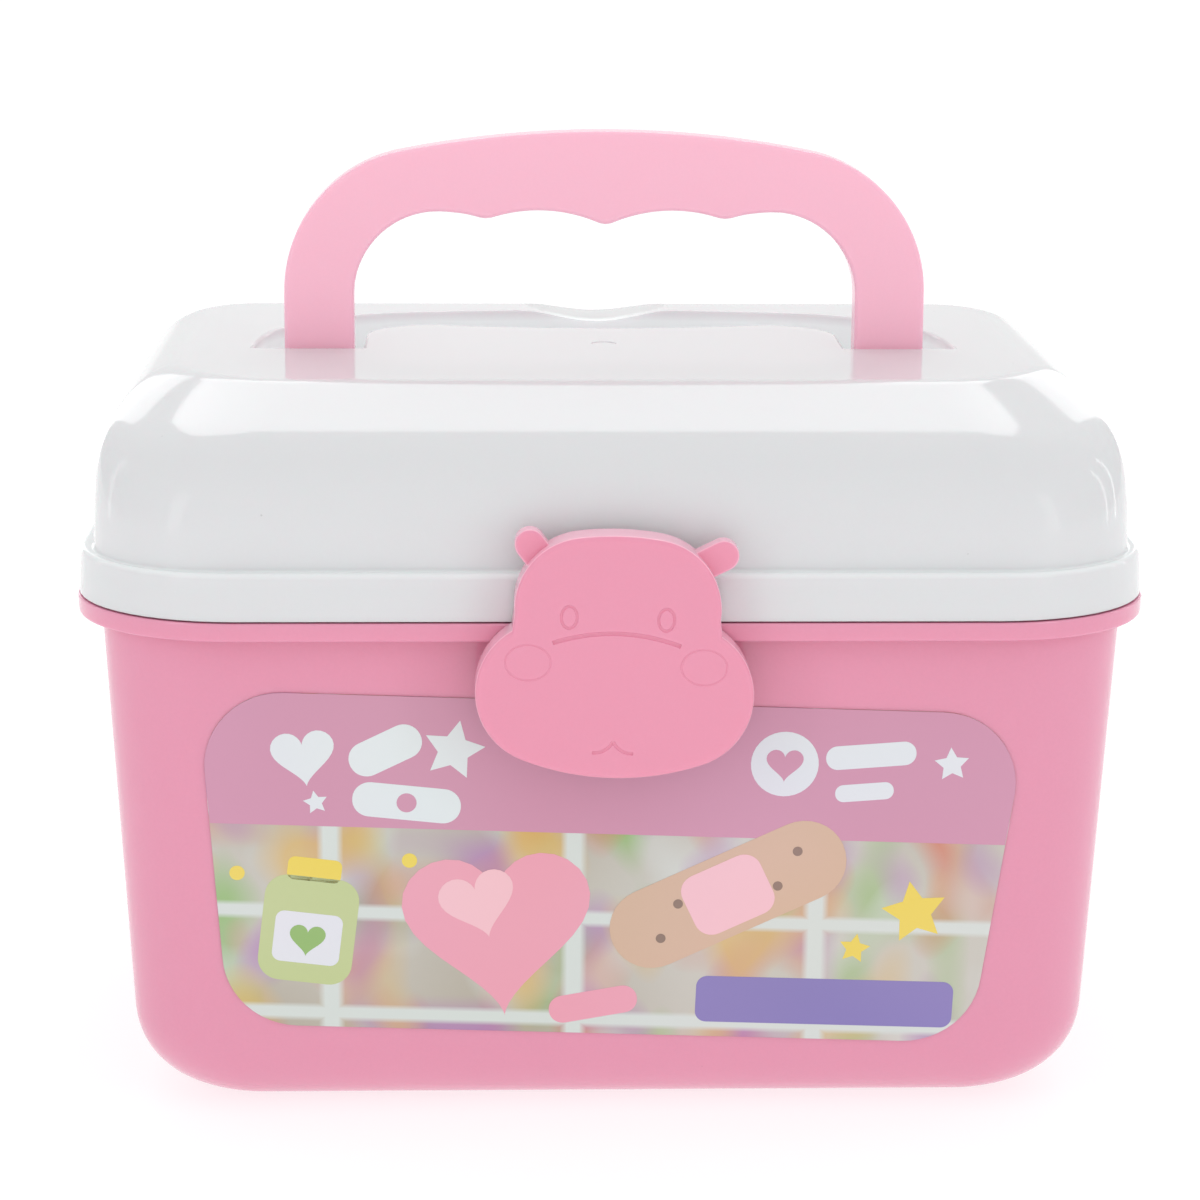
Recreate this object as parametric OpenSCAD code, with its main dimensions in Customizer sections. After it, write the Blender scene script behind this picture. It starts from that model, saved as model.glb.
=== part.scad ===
// Toy doctor case: a tapered storage bin with a domed snap lid, a fold-down
// carrying handle and a hinged animal-face latch. Millimetres, +Z up, front
// towards -Y, origin at the centre of the flat underside.

/* [Case] */
// Width across the bin's flange
rim_w = 240; // [220:1:260]
// Depth across the bin's flange, front to back
rim_d = 188; // [180:1:200]
// Corner radius of the flange, seen from above
rim_r = 37; // [32:1:40]
// Height of the flange's top face, where the lid sits
bin_h = 117.8; // [110:0.1:130]
// Height of the closed lid's flat top
case_h = 164.2; // [162:0.1:168]
// Wall thickness of the mouldings
wall = 2; // [1.6:0.1:2.2]

/* [Bin] */
// How far the bin's wall is set in from the flange's edge
bin_inset = 6.2; // [5.6:0.1:6.6]
// Lean of the bin's walls
bin_taper = 3.07; // [2:0.01:4]
// Corner radius of the bin's wall just under the flange
bin_r = 23; // [21:1:26]
// Radius between the bin's walls and its underside
bin_foot_r = 23; // [18:1:26]
// Thickness of the flange's edge
flange_t = 4.1; // [3.5:0.1:5]
// Height of the lip that stands up inside the lid
lip_h = 5; // [3:0.5:7]

/* [Lid] */
// Height of the lid's upright skirt
skirt_h = 10.4; // [10:0.1:11]
// How far the dome is set in from the flange's edge
dome_inset = 4.15; // [3.8:0.05:4.4]
// Corner radius of the dome at the skirt
dome_r = 29.5; // [28:0.5:32]
// Lean of the dome's walls
dome_taper = 2.25; // [1:0.05:3]
// Radius between the dome's walls and its flat top
dome_top_r = 18.7; // [16:0.1:20]
// How far the flat top is set in at the front, above the sloping brow
brow_start = 44; // [40:0.5:46]
// Slope of the brow
brow_slope = 19; // [16:0.5:22]

/* [Handle] */
// Overall width of the handle
handle_w = 152; // [148:1:154]
// Width of each leg
leg_w = 16.5; // [15:0.5:17]
// Thickness of the handle's plate
handle_t = 8; // [7:0.1:8]
// Height of the grip's top above the pivot
handle_rise = 57.4; // [56:0.1:57.5]
// Radius of the outer corners
handle_r = 34; // [32:1:36]

/* [Latch] */
// Width of the face across its cheeks
latch_w = 60; // [58:1:62]
// Width of the head
head_w = 44.4; // [43:0.1:45]
// Height of the chin above the base
chin_z = 85.5; // [84:0.5:87]
// Depth of the latch, front to back
latch_t = 8.5; // [8.2:0.1:9]

/* [Label] */
// Width of the label across its top
label_w = 179; // [160:1:180]
// Height of the label
label_h = 78; // [70:1:80]
// Tilt of the label as it is stuck on, clockwise
label_tilt = 1.9; // [0:0.1:2]

/* [Hidden] */

$fn = 64;
corner_steps = 10;
arc_steps = 8;
dome_steps = 12;
eps = 0.01;
far = 300;

pink = [0.95, 0.62, 0.73];
pale_pink = [0.97, 0.69, 0.78];
white = [0.95, 0.95, 0.95];
lilac = [0.83, 0.64, 0.77];

// heights
flange_z = bin_h - flange_t;
lid_gap = 0.3;
skirt_z = bin_h + lid_gap;
ledge_z = skirt_z + skirt_h;

// bin: the wall's lean, and the centre of the arc at its foot
bin_tan = tan(bin_taper);
foot_inset = bin_inset + (flange_z - bin_foot_r + bin_foot_r * sin(bin_taper)) * bin_tan
             + bin_foot_r * cos(bin_taper);
corner_shrink = 0.4;
function bin_wall_inset(z) = bin_inset + (flange_z - z) * bin_tan;
function bin_corner(inset) = bin_r - corner_shrink * (inset - bin_inset);

// lid: the centre of the arc at the dome's top edge
dome_arc_z = case_h - dome_top_r;
dome_tangent_z = dome_arc_z + dome_top_r * sin(dome_taper);
dome_arc_inset = dome_inset + (dome_tangent_z - ledge_z) * tan(dome_taper)
                 + dome_top_r * cos(dome_taper);
brow_soft = 0.35;
brow_bend_r = 13;
brow_round_r = 22;
brow_levels = [9.6, 7.6, 5.6, 3.8, 1.9];
brow_foot = dome_inset + 0.5;
brow_bend = brow_bend_r * (1 - cos(brow_slope));
brow_round_run = brow_round_r * (cos(dome_taper) - sin(brow_slope));
brow_drop = brow_bend + tan(brow_slope)
            * (brow_start - brow_foot - brow_bend_r * sin(brow_slope) - brow_round_run);
function dome_corner(inset) = dome_r - (inset - dome_inset);
skirt_inset = 0.45;
skirt_lean = 0.55;
shoulder_r = 1.6;

// rear hinge
hinge_y = rim_d / 2 + 3.8;
hinge_z = bin_h + lid_gap / 2;
knuckle_r = 3.4;
hinge_pin_r = 1.5;
hinge_x = 60;
lid_knuckle_w = 12;
bin_knuckle_w = 7;
knuckle_gap = 0.5;
running_gap = 0.06;
press_gap = 0.02;
hinge_half = lid_knuckle_w / 2 + knuckle_gap + bin_knuckle_w;
root = 1.5;

// handle and its recess
pivot_y = 1.0;
pivot_z = case_h - 6.2;
handle_front = pivot_y - 5.2;
leg_end_r = 5.2;
grip_top_r = 250;
grip_z = pivot_z + 38.5;
inner_corner_r = 20;
inner_corner_x = handle_w / 2 - leg_w - inner_corner_r;
groove_outer_r = 25;
groove_outer_x = 37.5;
groove_outer_rise = -0.2;
groove_inner_r = 36;
groove_inner_x = 15.8;
groove_inner_rise = 0.3;
grip_crest = 8;
handle_pin_r = 2;
pin_start_x = 53;
pin_end_x = 88.5;
boss_r = 4.3;
boss_start_x = 81;
boss_end_x = 90;
recess_front = handle_front - 0.4;
recess_gap = 1.2;
recess_depth = 9.4;
well_depth = 12;
well_back = pivot_y + 7;
flare_x = 83.4;
flare_back = pivot_y + 27.8;
flare_steps = 6;
island_x = 57.3;
island_corner_r = 17;
island_back = 34;
island_dip = 5.5;
tray_wall = 1.8;

// finger scoop and gate mark on the lid's top
scoop_half_w = 15.5;
scoop_depth = 2.8;
scoop_rim = 3;
scoop_r = (pow(scoop_half_w, 2) + pow(scoop_depth, 2)) / (2 * scoop_depth);
gate_r = 3;
gate_y = 3;
gate_depth = 0.4;

// latch
latch_back = -rim_d / 2 - 0.5;
latch_front = latch_back - latch_t;
latch_wall = 1.8;
latch_axis_y = latch_back - 1.3;
latch_axis_z = chin_z + 48;
latch_pin_r = 1.2;
cheek_r = 16;
cheek_z = chin_z + 18.5;
head_r = 14;
head_z = chin_z + 38.5;
head_top_z = chin_z + 53.4;
ear_r = 3.7;
ear_x = 20.4;
ear_z = chin_z + 48.8;
ear_t = 4.5;
latch_knuckle_r = 2.3;
arm_x = 6;
arm_w = 3;
arm_half_t = 1.8;
rib_w = 2.2;
rib_x = arm_x + arm_w + 0.5;
latch_pin_half = rib_x + rib_w + 0.7;
hook_half_w = 10;
hook_t = 3;
hook_reach = 1.6;
hook_gap = 0.3;

// lines engraved in the face; an oval is [x, z, half width, half height]
line_w = 0.6;
line_depth = 0.35;
eye = [10.4, chin_z + 35.5, 1.7, 2.4];
blush = [18.9, chin_z + 25.3, 4.9, 3.9];
muzzle_half_w = 13.7;
muzzle_rise = 2.4;
muzzle_top_z = chin_z + 32.2;
mouth_x = 4.1;
mouth_z = chin_z + 10.3;
mouth_r = 4.5;

// label, laid flat on the front wall
label_z = 59.6;
label_x = -1.5;
label_r = 17;
label_side = 4.5;
label_t = 0.25;
glue = 0.05;

// --- general shapes ------------------------------------------------------

// points of an arc about [cx, cy], from angle a0 to a1 in n steps; an arc that carries
// on from another one starts with first = 1, so that no point is doubled
function arc(cx, cy, r, a0, a1, n, first = 0) =
    [for (i = [first:n]) let (a = a0 + (a1 - a0) * i / n) [cx + r * cos(a), cy + r * sin(a)]];

// rounded rectangle of the case's plan, set in by inset, at height z; brow sets its front
// side in further and widens the front corners with it
function ring(inset, z, r, brow = 0) =
    [for (c = [0:3], i = [0:corner_steps])
        let (a = 90 * (c + i / corner_steps),
             sx = (c == 0 || c == 3) ? 1 : -1,
             sy = (c < 2) ? 1 : -1,
             extra = (c < 2) ? 0 : brow,
             cr = r + brow_soft * extra)
        [sx * (rim_w / 2 - inset - cr) + cr * cos(a),
         sy * (rim_d / 2 - inset - extra - cr) + cr * sin(a), z]];

// closed skin through a list of rings, given as [inset, height, corner radius, brow]
module skin(profile) {
    n = 4 * (corner_steps + 1);
    last = len(profile) - 1;
    points = [for (p = profile) each ring(p[0], p[1], p[2], len(p) > 3 ? p[3] : 0)];
    sides = [for (k = [0:last - 1], i = [0:n - 1])
        let (j = (i + 1) % n) each [
            [k * n + i, k * n + n + j, k * n + j],
            [k * n + i, k * n + n + i, k * n + n + j]]];
    caps = [[for (i = [0:n - 1]) i], [for (i = [n - 1:-1:0]) last * n + i]];
    polyhedron(points, concat(sides, caps), convexity = 6);
}

// cylinder along X, from x0 to x1
module rod(r, x0, x1, y, z) {
    translate([x0, y, z]) rotate([0, 90, 0]) cylinder(r = r, h = x1 - x0);
}

// box between two corners
module block(low, high) {
    translate(low) cube(high - low);
}

// plate standing upright in the XZ plane, its outline [x, z], from y0 back to y1
module upright(outline, y0, y1) {
    translate([0, y1, 0]) rotate([90, 0, 0]) linear_extrude(y1 - y0) polygon(outline);
}

// a half outline and its mirror image in X, with no point doubled on the centre line
function mirrored(half) = concat(half,
    [for (i = [len(half) - 1:-1:0]) if (abs(half[i][0]) > eps) [-half[i][0], half[i][1]]]);

// --- bin -----------------------------------------------------------------

// one side of the bin's wall and foot; offset is 0 outside and wall inside
function bin_profile(offset) = concat(
    [for (i = [0:arc_steps])
        let (a = 90 - (90 - bin_taper) * i / arc_steps,
             outer = foot_inset - bin_foot_r * cos(a),
             inset = foot_inset - (bin_foot_r - offset) * cos(a))
        [inset, bin_foot_r - (bin_foot_r - offset) * sin(a), bin_corner(outer) - offset]],
    [[bin_inset + offset, flange_z, bin_r - offset]]);

function reversed(list) = [for (i = [len(list) - 1:-1:0]) list[i]];

module bin_shell() {
    edge = 0.6;
    skin(concat(
        bin_profile(0),
        [[edge, flange_z, rim_r - edge],
         [0, flange_z + edge, rim_r],
         [0, bin_h - edge, rim_r],
         [edge, bin_h, rim_r - edge],
         [bin_inset, bin_h, bin_r],
         [bin_inset, bin_h + lip_h - edge, bin_r],
         [bin_inset + edge, bin_h + lip_h, bin_r - edge],
         [bin_inset + wall, bin_h + lip_h, bin_r - wall]],
        reversed(bin_profile(wall))));
}

// a bin knuckle pair of one hinge, centred at x
module bin_knuckles(x) {
    inner = lid_knuckle_w / 2 + knuckle_gap;
    for (side = [-1, 1]) {
        x0 = x + (side < 0 ? -inner - bin_knuckle_w : inner);
        rod(knuckle_r, x0, x0 + bin_knuckle_w, hinge_y, hinge_z);
        block([x0, rim_d / 2 - root, flange_z + 0.5], [x0 + bin_knuckle_w, hinge_y, bin_h - eps]);
    }
}

module bin() {
    color(pink) difference() {
        union() {
            bin_shell();
            for (x = [-hinge_x, hinge_x]) bin_knuckles(x);
        }
        for (x = [-hinge_x, hinge_x])
            rod(hinge_pin_r + press_gap, x - hinge_half - 1, x + hinge_half + 1, hinge_y, hinge_z);
    }
}

// --- lid -----------------------------------------------------------------

// how much further the dome's front is set in at height z than its other sides: a bend under
// the flat top, a straight slope and a rounding into the wall
function brow(z, inset) =
    let (drop = case_h - z,
         turn = cos(brow_slope) - (drop - brow_drop) / brow_round_r)
    drop <= brow_bend ? brow_start - sqrt(pow(brow_bend_r, 2) - pow(brow_bend_r - drop, 2)) - inset
    : drop <= brow_drop ? brow_foot + brow_round_run + (brow_drop - drop) / tan(brow_slope) - inset
    : turn <= sin(dome_taper) ? 0
    : max(0, brow_foot + brow_round_r * (cos(dome_taper) - sqrt(1 - turn * turn)) - inset);

function dome_profile(offset) = concat(
    [for (down = brow_levels)
        let (z = dome_tangent_z - down, outer = dome_inset + (z - ledge_z) * tan(dome_taper))
        [outer + offset, z, dome_corner(outer) - offset, brow(z, outer)]],
    [for (i = [0:dome_steps])
        let (a = dome_taper + (90 - dome_taper) * i / dome_steps,
             outer = dome_arc_inset - dome_top_r * cos(a),
             inset = dome_arc_inset - (dome_top_r - offset) * cos(a))
        [inset, dome_arc_z + (dome_top_r - offset) * sin(a), dome_corner(outer) - offset,
         brow(dome_arc_z + dome_top_r * sin(a), outer)]]);

function shoulder() = [for (i = [0:3])
    let (a = 90 * i / 3, inset = skirt_inset + skirt_lean + shoulder_r * (1 - cos(a)))
    [inset, ledge_z - shoulder_r * (1 - sin(a)), rim_r - inset]];

// the lid's shell: under its top, down the inside, round the skirt and up the outside
module lid_shell() {
    under = ledge_z - wall;
    skin(concat(
        reversed(dome_profile(wall)),
        [[dome_inset + wall, under, dome_r - wall],
         [skirt_inset + wall, under, rim_r - skirt_inset - wall],
         [skirt_inset + wall, skirt_z, rim_r - skirt_inset - wall],
         [skirt_inset, skirt_z, rim_r - skirt_inset]],
        shoulder(),
        [[dome_inset, ledge_z, dome_r]],
        dome_profile(0)));
}

// solid dome up to the middle of the lid's wall, used to trim what is added under it
module dome_core() {
    half = wall / 2;
    skin(concat([[dome_inset + half, ledge_z, dome_r - half]], dome_profile(half)));
}

// the folded handle's outline from above, grown all round
function folded_outline(grow) =
    let (cx = handle_w / 2 - handle_r,
         a = atan2(corner_cz() - top_cz(), cx))
    mirrored(concat(
        [[handle_w / 2 + grow, recess_front]],
        arc(cx, pivot_y + corner_cz() - pivot_z, handle_r + grow, 0, a, arc_steps),
        arc(0, pivot_y + top_cz() - pivot_z, grip_top_r + grow, a, 90, arc_steps, 1)));

// heights of the centres of the handle's corner arcs and of its long top arc
function top_cz() = pivot_z + handle_rise - grip_top_r;
function corner_cz() = top_cz() + sqrt(pow(grip_top_r - handle_r, 2) - pow(handle_w / 2 - handle_r, 2));

// the tongue of the lid's top that the folded handle goes round
function island_outline(shrink) =
    let (cx = island_x - island_corner_r,
         dip_r = (pow(cx, 2) + pow(island_dip, 2)) / (2 * island_dip),
         half = asin(cx / dip_r))
    mirrored(concat(
        [[island_x - shrink, -far], [island_x - shrink, island_back - island_corner_r]],
        arc(cx, island_back - island_corner_r, island_corner_r - shrink, 0, 90, arc_steps),
        arc(0, island_back - island_dip + dip_r, dip_r + shrink, 270 + half, 270, arc_steps, 1)));

// the recess's rounded outer side, beside the handle's right leg
function flare_outline(grow) =
    let (x = handle_w / 2 + grow, y = recess_front - grow)
    [for (i = [0:flare_steps])
        let (t = i / flare_steps)
        [x + (flare_x - handle_w / 2) * sqrt(1 - t * t), y + t * (flare_back - y)]];

// the recess, seen from above: grow is 0 for the hole and tray_wall for its tray
module recess_plan(grow) {
    difference() {
        union() {
            polygon(folded_outline(recess_gap + grow));
            for (side = [-1, 1]) scale([side, 1]) polygon(concat(
                [[handle_w / 2 - leg_w, recess_front - grow]],
                flare_outline(grow),
                [[handle_w / 2 - leg_w, flare_back]]));
        }
        polygon(island_outline(grow));
        translate([-far, -far]) square([2 * far, far + recess_front - grow]);
    }
}

module recess(grow, depth, back) {
    translate([0, 0, case_h - depth - grow])
        linear_extrude(grow > 0 ? depth + grow - wall / 2 : depth + 2)
            intersection() {
                recess_plan(grow);
                translate([-far, -far]) square([2 * far, far + back + grow]);
            }
}

// arm on the skirt's front face that carries the latch's pin, from x0
module latch_arm(x0) {
    rod(latch_knuckle_r, x0, x0 + arm_w, latch_axis_y, latch_axis_z);
    block([x0, latch_axis_y - arm_half_t, ledge_z - 8],
          [x0 + arm_w, latch_axis_y + arm_half_t, latch_axis_z]);
    block([x0, latch_axis_y, ledge_z - 7], [x0 + arm_w, -rim_d / 2 + root, ledge_z - 2.5]);
}

module lid_knuckle(x) {
    half = lid_knuckle_w / 2;
    rod(knuckle_r, x - half, x + half, hinge_y, hinge_z);
    block([x - half, rim_d / 2 - root, skirt_z + eps], [x + half, hinge_y, hinge_z + knuckle_r]);
}

module lid() {
    scoop_back = rim_d / 2;
    scoop_front = pivot_y + handle_rise + recess_gap - 1;
    color(white) difference() {
        union() {
            lid_shell();
            recess(tray_wall, recess_depth, far);
            recess(tray_wall, well_depth, well_back);
            for (side = [-1, 1]) {
                x = side * (boss_start_x + boss_end_x) / 2;
                half = (boss_end_x - boss_start_x) / 2;
                rod(boss_r, x - half, x + half, pivot_y, pivot_z);
            }
            intersection() {
                dome_core();
                block([-scoop_half_w - scoop_rim, scoop_front, case_h - scoop_depth - scoop_rim],
                      [scoop_half_w + scoop_rim, scoop_back, case_h - wall / 2]);
            }
            for (x = [-hinge_x, hinge_x]) lid_knuckle(x);
            latch_arm(arm_x);
            latch_arm(-arm_x - arm_w);
        }
        recess(0, recess_depth, far);
        recess(0, well_depth, well_back);
        translate([0, scoop_front, case_h - scoop_depth + scoop_r]) rotate([-90, 0, 0])
            cylinder(r = scoop_r, h = scoop_back - scoop_front, $fn = 160);
        translate([0, gate_y, case_h - gate_depth]) cylinder(r = gate_r, h = 2);
        rod(handle_pin_r + press_gap, -pin_end_x, pin_end_x, pivot_y, pivot_z);
        rod(latch_pin_r + press_gap, -latch_w / 2, latch_w / 2, latch_axis_y, latch_axis_z);
        for (x = [-hinge_x, hinge_x])
            rod(hinge_pin_r + running_gap, x - lid_knuckle_w, x + lid_knuckle_w, hinge_y, hinge_z);
    }
}

// --- handle --------------------------------------------------------------

function handle_outline() =
    let (cx = handle_w / 2 - handle_r,
         a = atan2(corner_cz() - top_cz(), cx))
    mirrored(concat(
        [[handle_w / 2, pivot_z]],
        arc(cx, corner_cz(), handle_r, 0, a, 2 * arc_steps),
        arc(0, top_cz(), grip_top_r, a, 90, 2 * arc_steps, 1)));

// one finger groove along the underside of the grip
module groove(r, x, top) {
    translate([x, far / 2, top - r]) rotate([90, 0, 0]) cylinder(r = r, h = far);
}

module handle() {
    inner_x = handle_w / 2 - leg_w;
    back = handle_front + handle_t;
    color(pale_pink) difference() {
        union() {
            upright(handle_outline(), handle_front, back);
            for (x = [-handle_w / 2, inner_x]) intersection() {
                rod(leg_end_r, x, x + leg_w, pivot_y, pivot_z);
                block([x, handle_front, 0], [x + leg_w, back, pivot_z]);
            }
        }
        block([-inner_x, -far, 0], [inner_x, far, grip_z - inner_corner_r]);
        block([-inner_corner_x, -far, 0], [inner_corner_x, far, grip_z - grip_crest]);
        for (side = [-1, 1]) {
            groove(inner_corner_r, side * inner_corner_x, grip_z);
            groove(groove_outer_r, side * groove_outer_x, grip_z + groove_outer_rise);
            groove(groove_inner_r, side * groove_inner_x, grip_z + groove_inner_rise);
        }
        rod(handle_pin_r + running_gap, -handle_w, handle_w, pivot_y, pivot_z);
    }
}

// --- latch ---------------------------------------------------------------

// outline of the face, drawn in by shrink: chin arc, cheeks, waist and head
function face_outline(shrink) =
    let (cheek_x = latch_w / 2 - cheek_r,
         chin_r = (pow(cheek_x, 2) + pow(cheek_z - chin_z, 2) - pow(cheek_r, 2))
                  / (2 * (cheek_z - chin_z - cheek_r)),
         chin_a = asin(cheek_x / (chin_r - cheek_r)),
         head_x = head_w / 2 - head_r,
         rise = head_top_z - head_z,
         top_r = (pow(head_x, 2) + pow(rise, 2) - pow(head_r, 2)) / (2 * (rise - head_r)),
         top_a = asin(head_x / (top_r - head_r)))
    mirrored(concat(
        arc(0, chin_z + chin_r, chin_r - shrink, 270, 270 + chin_a, 6),
        arc(cheek_x, cheek_z, cheek_r - shrink, 270 + chin_a, 418, 2 * arc_steps, 1),
        arc(head_x, head_z, head_r - shrink, -6, 90 - top_a, arc_steps),
        arc(0, head_top_z - top_r, top_r - shrink, 90 - top_a, 90, 4, 1)));

module oval(shape, side, grow) {
    translate([side * shape[0], shape[1]])
        scale([(shape[2] + grow) / (shape[3] + grow), 1]) circle(r = shape[3] + grow, $fn = 32);
}

module arc_line(cx, cz, r, a0, a1) {
    polygon(concat(arc(cx, cz, r + line_w / 2, a0, a1, arc_steps),
                   arc(cx, cz, r - line_w / 2, a1, a0, arc_steps)));
}

// eyes, blush marks, muzzle line and mouth
module face_lines() {
    muzzle_r = (pow(muzzle_half_w, 2) + pow(muzzle_rise, 2)) / (2 * muzzle_rise);
    muzzle_a = asin(muzzle_half_w / muzzle_r);
    for (side = [-1, 1], shape = [eye, blush]) difference() {
        oval(shape, side, line_w / 2);
        oval(shape, side, -line_w / 2);
    }
    arc_line(0, muzzle_top_z - muzzle_r, muzzle_r, 90 - muzzle_a, 90 + muzzle_a);
    arc_line(-mouth_x, mouth_z, mouth_r, 268, 334);
    arc_line(mouth_x, mouth_z, mouth_r, 206, 272);
}

module ear(side) {
    x = side * ear_x;
    translate([x, latch_back, ear_z]) rotate([90, 0, 0]) cylinder(r = ear_r, h = ear_t);
    upright([[x - side * 3.6, ear_z - 1], [x - side * 8, ear_z - 7],
             [x - side * 2.5, ear_z - 10], [x + side * 3.2, ear_z - 1.8]],
            latch_back - ear_t, latch_back);
}

module latch() {
    hook_top = flange_z - hook_gap;
    inside = latch_front + latch_wall;
    color(pink) difference() {
        union() {
            difference() {
                union() {
                    upright(face_outline(0), latch_front, latch_back);
                    for (side = [-1, 1]) ear(side);
                }
                upright(face_outline(latch_wall), inside, latch_back + 1);
            }
            for (x = [-rib_x - rib_w, rib_x]) {
                rod(latch_knuckle_r, x, x + rib_w, latch_axis_y, latch_axis_z);
                block([x, inside - latch_wall / 2, latch_axis_z - arm_half_t],
                      [x + rib_w, latch_axis_y, latch_axis_z + arm_half_t]);
            }
            block([-hook_half_w, inside - latch_wall / 2, hook_top - hook_t],
                  [hook_half_w, -rim_d / 2 + hook_reach, hook_top]);
        }
        rod(latch_pin_r + running_gap, -latch_pin_half, latch_pin_half, latch_axis_y, latch_axis_z);
        translate([0, latch_front + line_depth, 0]) rotate([90, 0, 0])
            linear_extrude(2 * line_depth) face_lines();
    }
}

// --- label and pins ------------------------------------------------------

// label outline about its own centre, narrower towards the bottom
function label_outline() =
    let (top = label_w / 2 - label_r, bottom = top - label_side, up = label_h / 2 - label_r)
    mirrored(concat(
        arc(bottom, -up, label_r, 270, 356, arc_steps),
        arc(top, up, label_r, -4, 90, arc_steps)));

module front_label() {
    y = -rim_d / 2 + bin_wall_inset(label_z) - glue;
    color(lilac) translate([label_x, y, label_z]) rotate([90 + bin_taper, 0, 0])
        rotate(-label_tilt) linear_extrude(label_t) polygon(label_outline());
}

module hinge_pin(x) {
    color(pink) rod(hinge_pin_r, x - hinge_half, x + hinge_half, hinge_y, hinge_z);
}

module handle_pin(side) {
    color(pale_pink) rod(handle_pin_r, side > 0 ? pin_start_x : -pin_end_x + eps,
        side > 0 ? pin_end_x - eps : -pin_start_x, pivot_y, pivot_z);
}

module latch_pin() {
    color(pale_pink) rod(latch_pin_r, -latch_pin_half, latch_pin_half, latch_axis_y, latch_axis_z);
}

bin();
lid();
handle();
latch();
front_label();
hinge_pin(-hinge_x);  // hinge_pin_left
hinge_pin(hinge_x);  // hinge_pin_right
handle_pin(-1);  // handle_pin_left
handle_pin(1);  // handle_pin_right
latch_pin();
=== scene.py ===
"""Looks of a toy doctor case: a tapered bin, a domed lid, a fold-down handle and a face latch.

Sizes are in millimetres and the finished meshes in metres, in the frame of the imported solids:
+Z up, front towards -Y, origin at the centre of the flat underside.
"""
import logging
import math
from dataclasses import dataclass
from enum import Enum
from typing import Callable, Sequence

import bmesh
import bpy
from mathutils import Matrix, Vector


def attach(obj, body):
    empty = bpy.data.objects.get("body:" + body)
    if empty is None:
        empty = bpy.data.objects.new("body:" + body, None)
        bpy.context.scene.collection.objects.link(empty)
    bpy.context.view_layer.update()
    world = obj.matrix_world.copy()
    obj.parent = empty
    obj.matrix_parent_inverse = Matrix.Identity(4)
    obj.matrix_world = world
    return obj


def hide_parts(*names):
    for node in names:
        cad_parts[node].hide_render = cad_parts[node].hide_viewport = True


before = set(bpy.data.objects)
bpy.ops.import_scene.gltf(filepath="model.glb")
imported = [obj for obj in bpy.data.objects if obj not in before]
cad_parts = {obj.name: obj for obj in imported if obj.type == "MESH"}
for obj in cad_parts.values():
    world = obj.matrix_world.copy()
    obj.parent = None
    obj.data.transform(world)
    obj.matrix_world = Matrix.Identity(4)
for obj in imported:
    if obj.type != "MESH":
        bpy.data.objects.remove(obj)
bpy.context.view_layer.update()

MM = 0.001
log = logging.getLogger("toy_case")

Colour = tuple[float, float, float]
Point = tuple[float, float, float]
Outline = list[tuple[float, float]]
Piece = bpy.types.Object
Socket = bpy.types.NodeSocket

ON_CENTRE = 0.01  # points nearer each other or the centre line than this count as one
ROD_SIDES = 48
BEVEL_PROFILE = 0.5
FLAT_FACE_WEIGHT = 50  # how much more a large face counts in the shading
HELD = 0.02  # how much a bore's radius is over that of the pin it holds
TURNING = 0.06  # the same for a pin that turns in it
SKIN = 0.05  # how far one shape keeps off another's face, so that no two lie in one plane
INK_BLEED = 0.01  # how far an ink reaches into what is under it
SHARP_TURN = 40.0  # the turn from which an edge counts as sharp, in degrees


# --- outlines -----------------------------------------------------------------


def arc(cx: float, cy: float, r: float, start: float, end: float, steps: int,
        first: int = 0) -> Outline:
    """Gives points along an arc.

    Args:
        cx, cy: The arc's centre.
        r: Its radius.
        start, end: Its first and last angle, in degrees.
        steps: How many pieces it is cut into.
        first: 1 where it carries on from another arc, so that no point is doubled.

    Returns:
        The arc's points, in order.
    """
    angles = [math.radians(start + (end - start) * i / steps) for i in range(first, steps + 1)]
    return [(cx + r * math.cos(a), cy + r * math.sin(a)) for a in angles]


def mirrored(half: Outline) -> Outline:
    """Gives a half outline and its mirror image in X, with no point doubled on the centre line."""
    return half + [(-x, y) for x, y in reversed(half) if abs(x) > ON_CENTRE]


def between(a: float, b: float, t: float) -> float:
    """Gives the value a share t of the way from a to b."""
    return a + (b - a) * t


# --- bench: modelling steps -----------------------------------------------------


class Join(Enum):
    """How one piece is worked into another."""

    ADD = "UNION"
    CUT = "DIFFERENCE"
    KEEP = "INTERSECT"


def pick(obj: Piece) -> None:
    """Selects one object alone and makes it active.

    Args:
        obj: The object.
    """
    bpy.ops.object.select_all(action="DESELECT")
    obj.select_set(True)
    bpy.context.view_layer.objects.active = obj


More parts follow.
